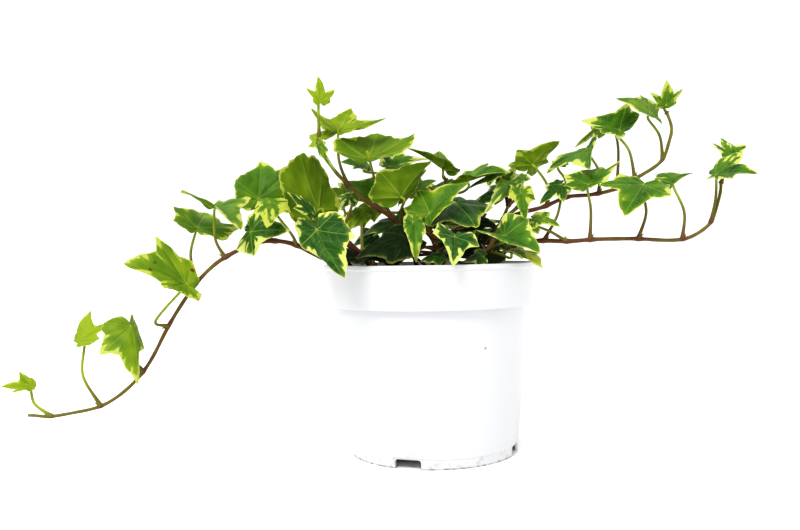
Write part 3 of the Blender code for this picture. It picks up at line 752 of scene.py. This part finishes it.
def vine_skin(shoot, sizes, rng):
    """A shoot's stem, leaf stalks and side buds as tubes. The stem thins evenly to its tip share and
    swells at each node as a bell curve; a stalk flares where it leaves the stem."""
    steps, sides, stalk_sides, bud_sides, bud_rings = 8, 14, 10, 8, 6
    tip_share, root_depth, swell_width, softness = 0.62, 7 * MM, 1.4 * MM, 9
    bud_start, bud_length, bud_girth = 0.4 * MM, 3.4 * MM, (0.8, 1.1, 1.15, 1.0, 0.7, 0.25)
    bud_radii = 0.62 * MM * np.sqrt(np.linspace(1.0, 0.02, bud_rings)) * bud_girth
    corners = placed(shoot.route)
    root = corners[0] - (0, 0, root_depth)
    path = smooth_path(np.vstack([root, corners]), steps)
    weights = np.hanning(2 * softness + 1) / np.hanning(2 * softness + 1).sum()
    ends = (np.repeat(path[:1], softness, 0), np.repeat(path[-1:], softness, 0))
    padded = np.concatenate([ends[0], path, ends[1]])
    path = np.stack([np.convolve(padded[:, i], weights, "valid") for i in range(3)], -1)
    share = np.linspace(0, 1, len(path))
    leaves = [*shoot.leaves, *shoot.more]
    nodes = corners[sorted({leaf.at for leaf in leaves})]
    gap = np.linalg.norm(path[:, None] - nodes[None], axis=-1).min(1)
    bell = np.exp(-((gap / swell_width) ** 2))
    lumps = 0.04 * np.sin(share * len(path) * 0.9 + rng.uniform(0, 9))
    radii = sizes.stem_radius * (1 - (1 - tip_share) * share) * (1 + sizes.node_swell * bell + lumps)
    skins = [tube_skin(path, radii, sides, 0.05)]
    age = np.clip(1.05 - 0.68 * share + 0.4 * bell, 0, 1)
    ages = [spread_along(age, sides)]
    ahead = unit(np.gradient(path, axis=0))
    for leaf in leaves:
        here = np.argmin(np.linalg.norm(path - corners[leaf.at], axis=-1))
        node = path[here]
        stalk = stalk_path(leaf, node)
        way = np.linspace(0, 1, len(stalk))
        flare = 1 + 0.9 * np.exp(-way * 14) + 0.35 * np.exp(-(1 - way) * 22)
        thin = sizes.stalk_radius * (1 - 0.15 * way) * flare
        skins.append(tube_skin(stalk, thin, stalk_sides, 0.08, rng.uniform(0, 6)))
        youth = LOOKS[leaf.look].youth
        ages.append(spread_along(np.clip(0.85 - way * 0.9 - 0.5 * youth, 0, 1), stalk_sides))
        lean = unit(unit(stalk[4] - node) + 0.6 * ahead[here])
        reach = np.linspace(0, 1, bud_rings)[:, None] * bud_length
        skins.append(tube_skin(node + lean * (bud_start + reach), bud_radii, bud_sides))
        ages.append(spread_along(np.linspace(0.55, 0.15, bud_rings), bud_sides))
    return joined(skins), {"vine_age": np.concatenate(ages)}


# Pot and soil

# Lumps in the soil: each wave's length and height in millimetres.
SOIL_WAVES = [
    (31, 0.5), (23, 0.4), (13, 0.35), (9, 0.3), (7, 0.3), (5.2, 0.22), (3.9, 0.2), (3.1, 0.16), (2.3, 0.12),
]

# The soil's side down the pot's inner wall, and its foot: distances from the axis and heights in
# millimetres.
SOIL_WALL = [(47.2, 73.5), (45.7, 71.6), (45.0, 68), (43.6, 50), (42.0, 32), (40.5, 14), (39.8, 8.2)]
SOIL_FOOT = 39.0

# How far the soil's edge is inside the rim, and the outermost crumbs inside the soil's edge.
SOIL_EDGE = 3.1 * MM
CRUMB_EDGE = 1.5 * MM


def rounded(corners, radii, steps=5):
    """A profile whose corners are rounded: each corner becomes the quadratic curve that leaves one
    side and joins the next at its radius from the corner."""
    corners = np.asarray(corners, float)
    points = [corners[:1]]
    t = np.linspace(0, 1, steps)[:, None]
    for before, here, after, radius in zip(corners[:-2], corners[1:-1], corners[2:], radii):
        start = here + (before - here) / np.linalg.norm(before - here) * radius
        end = here + (after - here) / np.linalg.norm(after - here) * radius
        points.append((1 - t) ** 2 * start + 2 * t * (1 - t) * here + t**2 * end)
    points.append(corners[-1:])
    return np.concatenate(points)


def pot_skin(sizes):
    """A profile turned about the pot's axis, from the middle of the floor up inside, over the rim and
    down outside to the middle of the floor's underside. Four notches lift the foot: inside one, a
    height below the foot zone's top is pressed up to start at the notch's height, which follows a
    flat arch, (1 - |offset| ** 8) ** (1 / 8)."""
    rim, height = RIM_RADIUS, RIM_MIDDLE[2]
    lip_proud, lip_height = 0.5 * MM, 2.2 * MM
    taper, step, wall = 1.5 * MM, 3.0 * MM, sizes.wall
    floor_lift, floor_top = 6 * MM, 7.5 * MM
    foot_zone, foot_band, foot_step = 5.6 * MM, 4.5 * MM, 0.3 * MM
    wall_top = height - sizes.collar_height
    collar, collar_foot = rim - lip_proud, rim - lip_proud - taper
    shoulder = collar_foot - step
    slope = (shoulder - sizes.foot_radius) / wall_top

    def outer(z):
        return sizes.foot_radius + slope * z

    corners = [
        (0, floor_top),
        (outer(floor_top) - wall, floor_top),
        (outer(wall_top) - wall, wall_top),
        (collar_foot - wall + 0.1 * MM, wall_top + wall + step / 2),
        (collar - wall, height),
        (rim, height),
        (rim, height - lip_height),
        (collar, height - lip_height - 0.3 * MM),
        (collar_foot, wall_top),
        (outer(wall_top), wall_top + 0.2 * MM),
        (outer(foot_band + foot_step), foot_band + foot_step),
        (outer(foot_band) - foot_step, foot_band),
        (sizes.foot_radius - foot_step, 0),
        (sizes.foot_radius - wall, 0),
        (outer(floor_lift) - wall, floor_lift),
        (0, floor_lift),
    ]
    radii = np.array([1.2, 1.0, 1.0, 0.4, 0.45, 0.45, 0.2, 0.7, 0.35, 0.12, 0.12, 0.25, 0.25, 0.6]) * MM
    profile = rounded(corners, radii)
    notch_turn, notches = math.radians(-109), 4
    half_angle = sizes.notch_width / 2 / sizes.foot_radius
    near = np.array([0, 0.3, 0.6, 0.8, 0.9, 0.96, 0.985, 0.996, 1.0, 1.004])
    quarter = math.tau / notches
    far = np.linspace(1.04 * half_angle, quarter / 2, 22)
    right = np.concatenate([near * half_angle, far])
    part = np.concatenate([-right[:0:-1], right[:-1]])
    offset = np.concatenate([part] * notches)
    middles = np.repeat(notch_turn + quarter * np.arange(notches), len(part))
    angle = middles + offset
    share = np.clip(np.abs(offset) / half_angle, 0, 1)
    arch = sizes.notch_height * np.clip(1 - share**8, 0, 1) ** (1 / 8)
    r, z = profile[1:-1, 0][:, None], profile[1:-1, 1][:, None]
    pressed = np.where(z < foot_zone, arch + z * (foot_zone - arch) / foot_zone, z)
    middle = RIM_MIDDLE[:2]
    rings = np.stack([middle[0] + r * np.cos(angle), middle[1] + r * np.sin(angle), pressed], -1)
    start, end = (np.array([*middle, profile[i, 1]]) for i in (0, -1))
    return closed_skin(rings, start, end)


def lumps(x, y, waves, rng):
    """Uneven ground: a sum of sine waves in random directions, each at its length and height."""
    total = np.zeros_like(x)
    for length, height in waves:
        turn, phase = rng.uniform(0, math.tau, 2)
        total += height * np.sin((x * math.cos(turn) + y * math.sin(turn)) * math.tau / length + phase)
    return total


def soil_height(x, y):
    """The soil's surface: a dome, whose height falls with the square of the distance from the axis,
    with lumps on it."""
    edge, crown, edge_gap = RIM_MIDDLE[2] - 7 * MM, 3.4 * MM, 2 * MM
    rng = np.random.default_rng(SEEDS["soil"])
    waves = [(length * MM, height * MM) for length, height in SOIL_WAVES]
    share = np.hypot(x, y) / (RIM_RADIUS - edge_gap)
    return edge + crown * (1 - share**2) + lumps(x, y, waves, rng)


def about_axis(x, y, z):
    """Points at distances from the pot's axis along x and y, at a height."""
    return np.stack([RIM_MIDDLE[0] + x, RIM_MIDDLE[1] + y, z], -1)


def soil_skin(radius):
    """The soil as rings from its top's middle to the wall, then down the wall to its bottom."""
    columns, rows = 160, 60
    angle = np.arange(columns) * math.tau / columns
    r = (np.arange(1, rows + 1) / rows * radius)[:, None]
    x, y = r * np.cos(angle), r * np.sin(angle)
    top = about_axis(x, y, soil_height(x, y))
    bottom = SOIL_LOW.z
    wall = np.array([*SOIL_WALL, (SOIL_FOOT, bottom / MM)]) * MM
    r, z = wall[:, :1], wall[:, 1:]
    side = about_axis(r * np.cos(angle), r * np.sin(angle), z + 0 * angle)
    start = about_axis(0, 0, soil_height(np.zeros(1), np.zeros(1))[0])
    return closed_skin(np.concatenate([top, side]), start, about_axis(0, 0, bottom))


def crumbs_skin(count, size, radius, rng):
    """Crumbs as squashed six-sided balls of two rings, scattered evenly over the soil's disc."""
    columns = 6
    angle = np.arange(columns) * math.tau / columns
    skins, shades = [], []
    for _ in range(count):
        away, turn = radius * math.sqrt(rng.uniform(0, 1)), rng.uniform(0, math.tau)
        x, y = away * math.cos(turn), away * math.sin(turn)
        lengths = size * rng.uniform(0.25, 1.0) ** 1.5 * rng.uniform((0.6, 0.4, 0.3), (1.0, 0.8, 0.6))
        ring = np.stack([np.cos(angle), np.sin(angle), np.zeros(columns)], -1)
        rings = np.stack([ring * 0.85 + (0, 0, 0.5), ring * 0.8 - (0, 0, 0.45)])
        rings = rings + rng.uniform(-0.16, 0.16, rings.shape)
        ends = np.array([[0, 0, 1.0], [0, 0, -1.0]])
        spin = Matrix.Rotation(rng.uniform(0, math.tau), 3, "Z")
        tilt = Matrix.Rotation(rng.uniform(-0.7, 0.7), 3, "X")
        turned = np.array(spin @ tilt)
        place = about_axis(x, y, soil_height(np.array([x]), np.array([y]))[0] + lengths[2] * 0.5)
        rings, ends = (shape * lengths @ turned.T + place for shape in (rings, ends))
        skins.append(closed_skin(rings, ends[0], ends[1]))
        shades.append(np.full(2 * columns + 2, rng.uniform(0, 1)))
    return joined(skins), {"crumb_shade": np.concatenate(shades)}


# Materials


class Value:
    """A shader output that takes part in sums: an operator on it adds its Math node."""

    def __init__(self, finish, socket):
        self.finish = finish
        self.socket = socket

    def __add__(self, other):
        return self.finish.maths("ADD", self, other)

    def __sub__(self, other):
        return self.finish.maths("SUBTRACT", self, other)

    def __rsub__(self, other):
        return self.finish.maths("SUBTRACT", other, self)

    def __mul__(self, other):
        return self.finish.maths("MULTIPLY", self, other)

    def __truediv__(self, other):
        return self.finish.maths("DIVIDE", self, other)

    def __pow__(self, other):
        return self.finish.maths("POWER", self, other)

    __radd__ = __add__
    __rmul__ = __mul__


class Finish:
    """A material being made. Every node comes from add()."""

    def __init__(self, name):
        self.material = bpy.data.materials.new(name)
        self.material.use_nodes = True
        self.tree = self.material.node_tree
        self.shader = self.tree.nodes["Principled BSDF"]
        self.output = self.tree.nodes["Material Output"]

    def add(self, kind, settings=None, inputs=None):
        node = self.tree.nodes.new(kind)
        for key, setting in (settings or {}).items():
            setattr(node, key, setting)
        for key, given in (inputs or {}).items():
            self.set(node.inputs[key], given)
        return node

    def set(self, socket, given):
        if isinstance(given, Value):
            self.tree.links.new(given.socket, socket)
        elif isinstance(given, bpy.types.NodeSocket):
            self.tree.links.new(given, socket)
        elif socket.type == "RGBA":
            socket.default_value = (*tuple(given)[:3], 1.0)
        else:
            socket.default_value = given

    def value(self, kind, settings=None, inputs=None, output=0):
        return Value(self, self.add(kind, settings, inputs).outputs[output])

    def where(self):
        """The object's own coordinates."""
        return self.add("ShaderNodeTexCoord").outputs["Object"]

    def maths(self, operation, *terms):
        return self.value("ShaderNodeMath", {"operation": operation}, dict(enumerate(terms)))

    def parts(self, label):
        """The three numbers of a point attribute."""
        source = self.add("ShaderNodeAttribute", {"attribute_name": label}).outputs["Vector"]
        split = self.add("ShaderNodeSeparateXYZ", inputs={0: source})
        return [Value(self, socket) for socket in split.outputs]

    def step(self, value, low, high):
        """From 0 to 1 as the value goes from low to high, with soft ends."""
        return self.value(
            "ShaderNodeMapRange",
            {"interpolation_type": "SMOOTHSTEP"},
            {"Value": value, "From Min": low, "From Max": high},
        )

    def noise(self, vector, scale, detail=2.0):
        return self.value(
            "ShaderNodeTexNoise", None, {"Vector": vector, "Scale": scale, "Detail": detail}
        )

    def dots(self, vector, scale, share, core, edge):
        """Round dots in the given share of a Voronoi pattern's cells, fading from core to edge."""
        cells = self.add("ShaderNodeTexVoronoi", None, {"Vector": vector, "Scale": scale})
        pick = self.add("ShaderNodeSeparateColor", None, {0: cells.outputs["Color"]}).outputs[0]
        away = Value(self, cells.outputs["Distance"])
        return self.maths("LESS_THAN", Value(self, pick), share) * (1 - self.step(away, core, edge))

    def vector(self, x, y, z):
        return self.add("ShaderNodeCombineXYZ", None, {0: x, 1: y, 2: z}).outputs[0]

    def blend(self, share, first, second):
        """The first colour turning into the second as the share goes from 0 to 1."""
        return self.add(
            "ShaderNodeMix", {"data_type": "RGBA"}, {"Factor": share, 6: first, 7: second}
        ).outputs[2]

    def mixed(self, share, first, second):
        return self.add("ShaderNodeMixShader", None, {0: share, 1: first, 2: second}).outputs[0]

    def bump(self, height, strength, distance):
        return self.add(
            "ShaderNodeBump", None, {"Height": height, "Strength": strength, "Distance": distance}
        ).outputs["Normal"]

    def finish(self, base, roughness, normal=None, **plain):
        self.set(self.shader.inputs["Base Color"], base)
        self.set(self.shader.inputs["Roughness"], roughness)
        if normal is not None:
            self.set(self.shader.inputs["Normal"], normal)
        for label, number in plain.items():
            self.shader.inputs[label.replace("_", " ")].default_value = number
        return self.material


def leaf_finish(colours):
    """Green with an uneven cream edge whose tongues follow the veins, pale veins, brown flecks, and a
    matt paler back; some light passes through. The darkest blades are painted near-black, as painted
    shade."""
    f = Finish("leaf_surface")
    across, along, to_edge = f.parts("leaf_place")
    cream_share, gold_share, youth = f.parts("leaf_look")
    spots, seed, under = f.parts("leaf_mark")
    under = f.step(under, 0.4, 0.6)
    side = f.maths("ABSOLUTE", across)
    turn = f.maths("ARCTAN2", across, along)
    radius = (across * across + along * along) ** 0.5
    flat = f.vector(across, along, seed)
    rays = f.vector(turn * 1.6, radius * 0.9, seed)

    patch = f.noise(rays, 2.2, 2.0)
    ragged = f.noise(flat, 11.0, 3.0)
    broad = f.noise(flat, 2.6, 1.0)

    # Main veins are rays; side veins leave them forwards at an even spacing.
    spacing = 0.17
    ahead, off = [], []
    for degrees in VEIN_ANGLES:
        sine, cosine = math.sin(math.radians(degrees)), math.cos(math.radians(degrees))
        ahead.append(side * sine + along * cosine)
        off.append(f.maths("ABSOLUTE", side * cosine - along * sine))
    first, second, third = off
    nearest = f.maths("MINIMUM", first, f.maths("MINIMUM", second, third))
    vein_width = 0.004 + 0.009 * (1 - radius)
    main_vein = 1 - f.step(nearest, vein_width * 0.4, vein_width * 1.5)
    phase = 0.0
    for reach, distance in zip(ahead, off):
        closest = f.maths("COMPARE", distance, nearest, 0.0001)
        phase = closest * (reach - distance * 0.85) + phase
    saw = f.maths("FRACT", phase / spacing + ragged * 0.35)
    from_line = f.maths("ABSOLUTE", saw - 0.5)
    side_vein = (1 - f.step(from_line, 0.015, 0.07)) * f.step(nearest, 0.0, 0.02)

    # The cream edge: its width grows with the leaf's share and swings with the rays.
    swing = f.step(patch, 0.36, 0.66)
    width = cream_share * (0.01 + 0.42 * swing * swing) + 0.003 + (ragged - 0.5) * 0.04
    width = width * f.step(radius, 0.06, 0.4)
    cream_mask = 1 - f.step(to_edge, width * 0.86, width * 1.08 + 0.006)
    rim_glow = 1 - f.step(to_edge, width, width + 0.07)

    light = youth + (broad - 0.5) * 0.8 + (patch - 0.5) * 0.6
    green = f.blend(f.step(light, -0.05, 0.36), colours.deep, colours.middle)
    green = f.blend(f.step(light, 0.3, 0.95), green, colours.bright)
    sector = f.step(f.noise(rays, 3.7, 1.0), 0.5, 0.56)
    grey = f.blend(0.4, green, (0.11, 0.22, 0.045))
    green = f.blend(sector * 0.4 * (1 - youth), green, grey)
    green = f.blend(rim_glow * 0.3, green, colours.bright)
    pale_vein = f.blend(0.5, colours.bright, (0.4, 0.55, 0.12))
    green = f.blend(main_vein * 0.45 + side_vein * 0.14, green, pale_vein)
    cream = f.blend(gold_share, colours.cream, colours.gold)
    cream = f.blend(0.35 * side_vein + 0.25 * ragged, cream, colours.bright)
    face = f.blend(cream_mask, green, cream)

    back = f.blend(f.step(light, 0.1, 1.1), colours.underside, colours.bright)
    back = f.blend(main_vein * 0.35 + side_vein * 0.12, back, pale_vein)
    back_cream = f.blend(0.5, cream, colours.bright)
    back = f.blend(cream_mask * 0.85, back, back_cream)
    base = f.blend(under, face, back)
    # Painted shade: blades set below the darkest green fade to near-black, standing in for shadow deep in the
    # crown.
    base = f.blend((1 - f.step(youth, -0.7, -0.1)) * 0.85, base, (0.002, 0.004, 0.0015))

    fleck = f.dots(flat, 8.0, spots * 0.16, 0.2, 0.3)
    dry = f.step(along, 0.93, 0.985) * f.step(spots, 0.05, 0.6)
    base = f.blend(f.maths("MINIMUM", fleck + dry * 0.85, 1.0), base, colours.brown)

    grain = f.noise(flat, 60.0, 2.0)
    relief = grain * 0.25 - side_vein * 0.5 - main_vein * 0.8
    normal = f.bump(relief, 0.35, 0.25 * MM)
    roughness = 0.36 + 0.12 * ragged + under * 0.2 + 0.5 * (1 - f.step(youth, -0.7, 0.0))
    f.finish(base, roughness, normal, IOR=1.3, Specular_IOR_Level=0.25)

    green_glow = f.add("ShaderNodeBsdfTranslucent", None, {"Color": colours.glow}).outputs[0]
    cream_glow = f.add("ShaderNodeBsdfTranslucent", None, {"Color": colours.cream_glow}).outputs[0]
    glow = f.mixed(cream_mask * 0.8, green_glow, cream_glow)
    passing = 0.12 * f.step(youth, -0.6, 0.0) + 0.26 * f.step(youth, 0.0, 0.8)
    surface = f.mixed(passing, f.shader.outputs[0], glow)
    f.set(f.output.inputs["Surface"], surface)
    return f.material


def vine_finish(colours):
    """Red-brown bark that turns olive and then fresh green towards the tips, with fine streaks."""
    f = Finish("vine_surface")
    age = f.value("ShaderNodeAttribute", {"attribute_name": "vine_age"}, None, "Fac")
    where = f.where()
    mottle = f.noise(where, 260.0, 3.0)
    blotch = f.noise(where, 60.0, 1.0)
    older = age + (mottle - 0.5) * 0.3 + (blotch - 0.5) * 0.75
    colour = f.blend(f.step(older, 0.05, 0.45), colours.fresh, colours.olive)
    colour = f.blend(f.step(older, 0.5, 0.85), colour, colours.bark)
    normal = f.bump(mottle, 0.4, 0.2 * MM)
    return f.finish(colour, 0.45 + 0.2 * mottle, normal, Specular_IOR_Level=0.2)


def pot_finish(colours):
    """Satin white plastic with a faint moulded grain, a few dark specks, grime splashes low on the wall, and
    a thin dark brown line round the bottom of the foot.
    """
    f = Finish("pot_surface")
    where = f.where()
    height = Value(f, f.add("ShaderNodeSeparateXYZ", inputs={0: where}).outputs["Z"])
    haze = f.noise(where, 35.0, 3.0)
    splash = f.noise(where, 420.0, 4.0)
    colour = f.blend(0.06 * haze, colours.white, (0.53, 0.54, 0.57))
    low = 1 - f.step(height, 1 * MM, 13 * MM)
    grime = low * f.step(splash + low * 0.12, 0.66, 0.74)
    colour = f.blend(grime * 0.3 + low * 0.03, colour, colours.grime)
    # A thin dark brown line over the lowest millimetre of the foot, where it meets the floor, broken up by
    # the splash noise.
    foot = (1 - f.step(height, 0.3 * MM, 1.1 * MM)) * (0.35 + 0.65 * f.step(splash, 0.35, 0.6))
    colour = f.blend(foot * 0.75, colour, (0.1, 0.08, 0.035))
    speck = f.dots(where, 150.0, 0.05, 0.05, 0.12)
    colour = f.blend(speck * 0.8, colour, (0.1, 0.09, 0.07))
    normal = f.bump(f.noise(where, 900.0, 2.0) * 0.4 + haze, 0.06, 0.3 * MM)
    return f.finish(colour, 0.3 + 0.15 * haze + 0.3 * grime, normal)


def soil_finish(colours):
    """Near-black peat with paler bark in some crumbs."""
    f = Finish("soil_surface")
    shade = f.value("ShaderNodeAttribute", {"attribute_name": "crumb_shade"}, None, "Fac")
    where = f.where()
    grain = f.noise(where, 700.0, 5.0)
    clods = f.noise(where, 160.0, 3.0)
    colour = f.blend(f.step(shade, 0.86, 0.97) * 0.8, colours.peat, colours.chips)
    colour = f.blend(f.step(grain, 0.55, 0.8) * 0.5, colour, colours.chips)
    normal = f.bump(grain + clods, 0.9, 0.6 * MM)
    return f.finish(colour, 0.85 + 0.1 * grain, normal)


def floor_finish():
    """Plain white paper with the faintest mottling."""
    f = Finish("floor_surface")
    where = f.where()
    haze = f.noise(where, 3.0, 2.0)
    return f.finish(f.blend(haze * 0.1, (0.97, 0.97, 0.97), (0.95, 0.95, 0.95)), 0.9 + 0.05 * haze)


def shared(name, maker, *settings):
    """The material of this name, made on first use."""
    return bpy.data.materials.get(name) or maker(*settings)


def new_blades(sizes, which, label):
    """The blades in one of every shoot's two lists, each with its shoot's name and its number."""
    finish = shared("leaf_surface", leaf_finish, sizes)
    rng = np.random.default_rng(SEEDS[which])
    blades = []
    for name, shoot in SHOOTS.items():
        for number, leaf in enumerate(getattr(shoot, which), 1):
            skin, looks = blade_skin(leaf, sizes, rng)
            blade = new_piece(f"{name}_{label}_{number}", skin, finish, looks)
            blades.append((blade, name, number))
    return blades


# Operators


class IVY_OT_pot(bpy.types.Operator):
    """Build the pot with its rolled lip, collar and notched foot"""

    bl_idname = "ivy.pot"
    bl_label = "Pot"

    def execute(self, context):
        sizes = context.scene.ivy_pot
        finish = shared("pot_surface", pot_finish, sizes)
        pot = new_piece("nursery_pot", pot_skin(sizes), finish, sharp_degrees=40.0)
        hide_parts("pot")
        return {"FINISHED"}


class IVY_OT_soil(bpy.types.Operator):
    """Build the soil and the loose crumbs on it"""

    bl_idname = "ivy.soil"
    bl_label = "Soil"

    def execute(self, context):
        sizes = context.scene.ivy_soil
        finish = shared("soil_surface", soil_finish, sizes)
        radius = RIM_RADIUS - SOIL_EDGE
        soil = new_piece("potting_soil", soil_skin(radius), finish)
        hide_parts("soil")
        rng = np.random.default_rng(SEEDS["crumbs"])
        skin, shades = crumbs_skin(sizes.crumbs, sizes.crumb_size, radius - CRUMB_EDGE, rng)
        new_piece("soil_crumbs", skin, finish, shades, sharp_degrees=20.0)
        return {"FINISHED"}


class IVY_OT_vines(bpy.types.Operator):
    """Build each shoot's stem with its leaf stalks and side buds"""

    bl_idname = "ivy.vines"
    bl_label = "Vines"

    def execute(self, context):
        sizes = context.scene.ivy_vine
        finish = shared("vine_surface", vine_finish, sizes)
        rng = np.random.default_rng(SEEDS["vines"])
        for name, shoot in SHOOTS.items():
            skin, ages = vine_skin(shoot, sizes, rng)
            vine = new_piece(f"{name}_vine", skin, finish, ages)
            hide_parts(f"{name}_stem")
        return {"FINISHED"}


class IVY_OT_leaves(bpy.types.Operator):
    """Build the leaf blades of the plain model"""

    bl_idname = "ivy.leaves"
    bl_label = "Leaves"

    def execute(self, context):
        for blade, name, number in new_blades(context.scene.ivy_leaf, "leaves", "blade"):
            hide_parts(f"{name}_leaf_{number}")
        return {"FINISHED"}


class IVY_OT_extra_leaves(bpy.types.Operator):
    """Build the small blades that the plain model leaves out"""

    bl_idname = "ivy.extra_leaves"
    bl_label = "Extra leaves"

    def execute(self, context):
        new_blades(context.scene.ivy_leaf, "more", "small_blade")
        return {"FINISHED"}


class IVY_OT_stage(bpy.types.Operator):
    """Add the floor, the soft lights and the camera"""

    bl_idname = "ivy.stage"
    bl_label = "Stage"

    def execute(self, context):
        scene, stage = context.scene, context.scene.ivy_stage
        reach = 6.0
        corners = [(x * reach, y * reach, 0) for x, y in ((-1, -1), (1, -1), (1, 1), (-1, 1))]
        mesh = bpy.data.meshes.new("floor")
        mesh.from_pydata(corners, [], [(0, 1, 2, 3)])
        mesh.materials.append(floor_finish())
        floor = bpy.data.objects.new("floor", mesh)
        scene.collection.objects.link(floor)

        world = bpy.data.worlds.new("white_surroundings")
        world.use_nodes = True
        sky = world.node_tree.nodes["Background"]
        sky.inputs["Color"].default_value = (1.0, 1.0, 1.0, 1.0)
        sky.inputs["Strength"].default_value = stage.sky_light
        scene.world = world

        foot = np.array([RIM_MIDDLE[0], RIM_MIDDLE[1], 0.0])
        lamp = bpy.data.lights.new("key_lamp", "SUN")
        lamp.energy = stage.key_light
        lamp.angle = math.radians(25)
        key = bpy.data.objects.new("key_lamp", lamp)
        key.rotation_euler = (math.radians(40), 0, math.radians(-26))
        scene.collection.objects.link(key)

        camera = bpy.data.cameras.new("camera")
        camera.lens = stage.lens
        camera.sensor_width = 36.0
        camera.clip_start = 0.01
        eye = bpy.data.objects.new("camera", camera)
        scene.collection.objects.link(eye)
        eye.matrix_world = (
            Matrix.Translation(foot + np.array(stage.camera_offset))
            @ Matrix.Rotation(math.pi / 2 - stage.camera_pitch, 4, "X")
            @ Matrix.Rotation(-stage.camera_roll, 4, "Z")
        )
        scene.camera = eye
        scene.view_settings.view_transform = "Standard"
        scene.view_settings.look = "Medium High Contrast"
        return {"FINISHED"}


class IVY_PT_panel(bpy.types.Panel):
    """The plant's pieces and their settings"""

    bl_label = "Potted ivy"
    bl_idname = "IVY_PT_panel"
    bl_space_type = "VIEW_3D"
    bl_region_type = "UI"
    bl_category = "Ivy"

    def draw(self, context):
        for operator in OPERATORS:
            self.layout.operator(operator.bl_idname)
        for label, group in SETTINGS.items():
            box = self.layout.box()
            for key in group.__annotations__:
                box.prop(getattr(context.scene, label), key)


OPERATORS = (IVY_OT_stage, IVY_OT_pot, IVY_OT_soil, IVY_OT_vines, IVY_OT_leaves, IVY_OT_extra_leaves)
CLASSES = (*SETTINGS.values(), *OPERATORS, IVY_PT_panel)


def register():
    for cls in CLASSES:
        bpy.utils.register_class(cls)
    for label, group in SETTINGS.items():
        setattr(bpy.types.Scene, label, PointerProperty(type=group))


def unregister():
    for label in SETTINGS:
        delattr(bpy.types.Scene, label)
    for cls in reversed(CLASSES):
        bpy.utils.unregister_class(cls)


def main():
    register()
    bpy.ops.ivy.stage()
    bpy.ops.ivy.pot()
    bpy.ops.ivy.soil()
    bpy.ops.ivy.vines()
    bpy.ops.ivy.leaves()
    bpy.ops.ivy.extra_leaves()


if __name__ == "__main__":
    main()
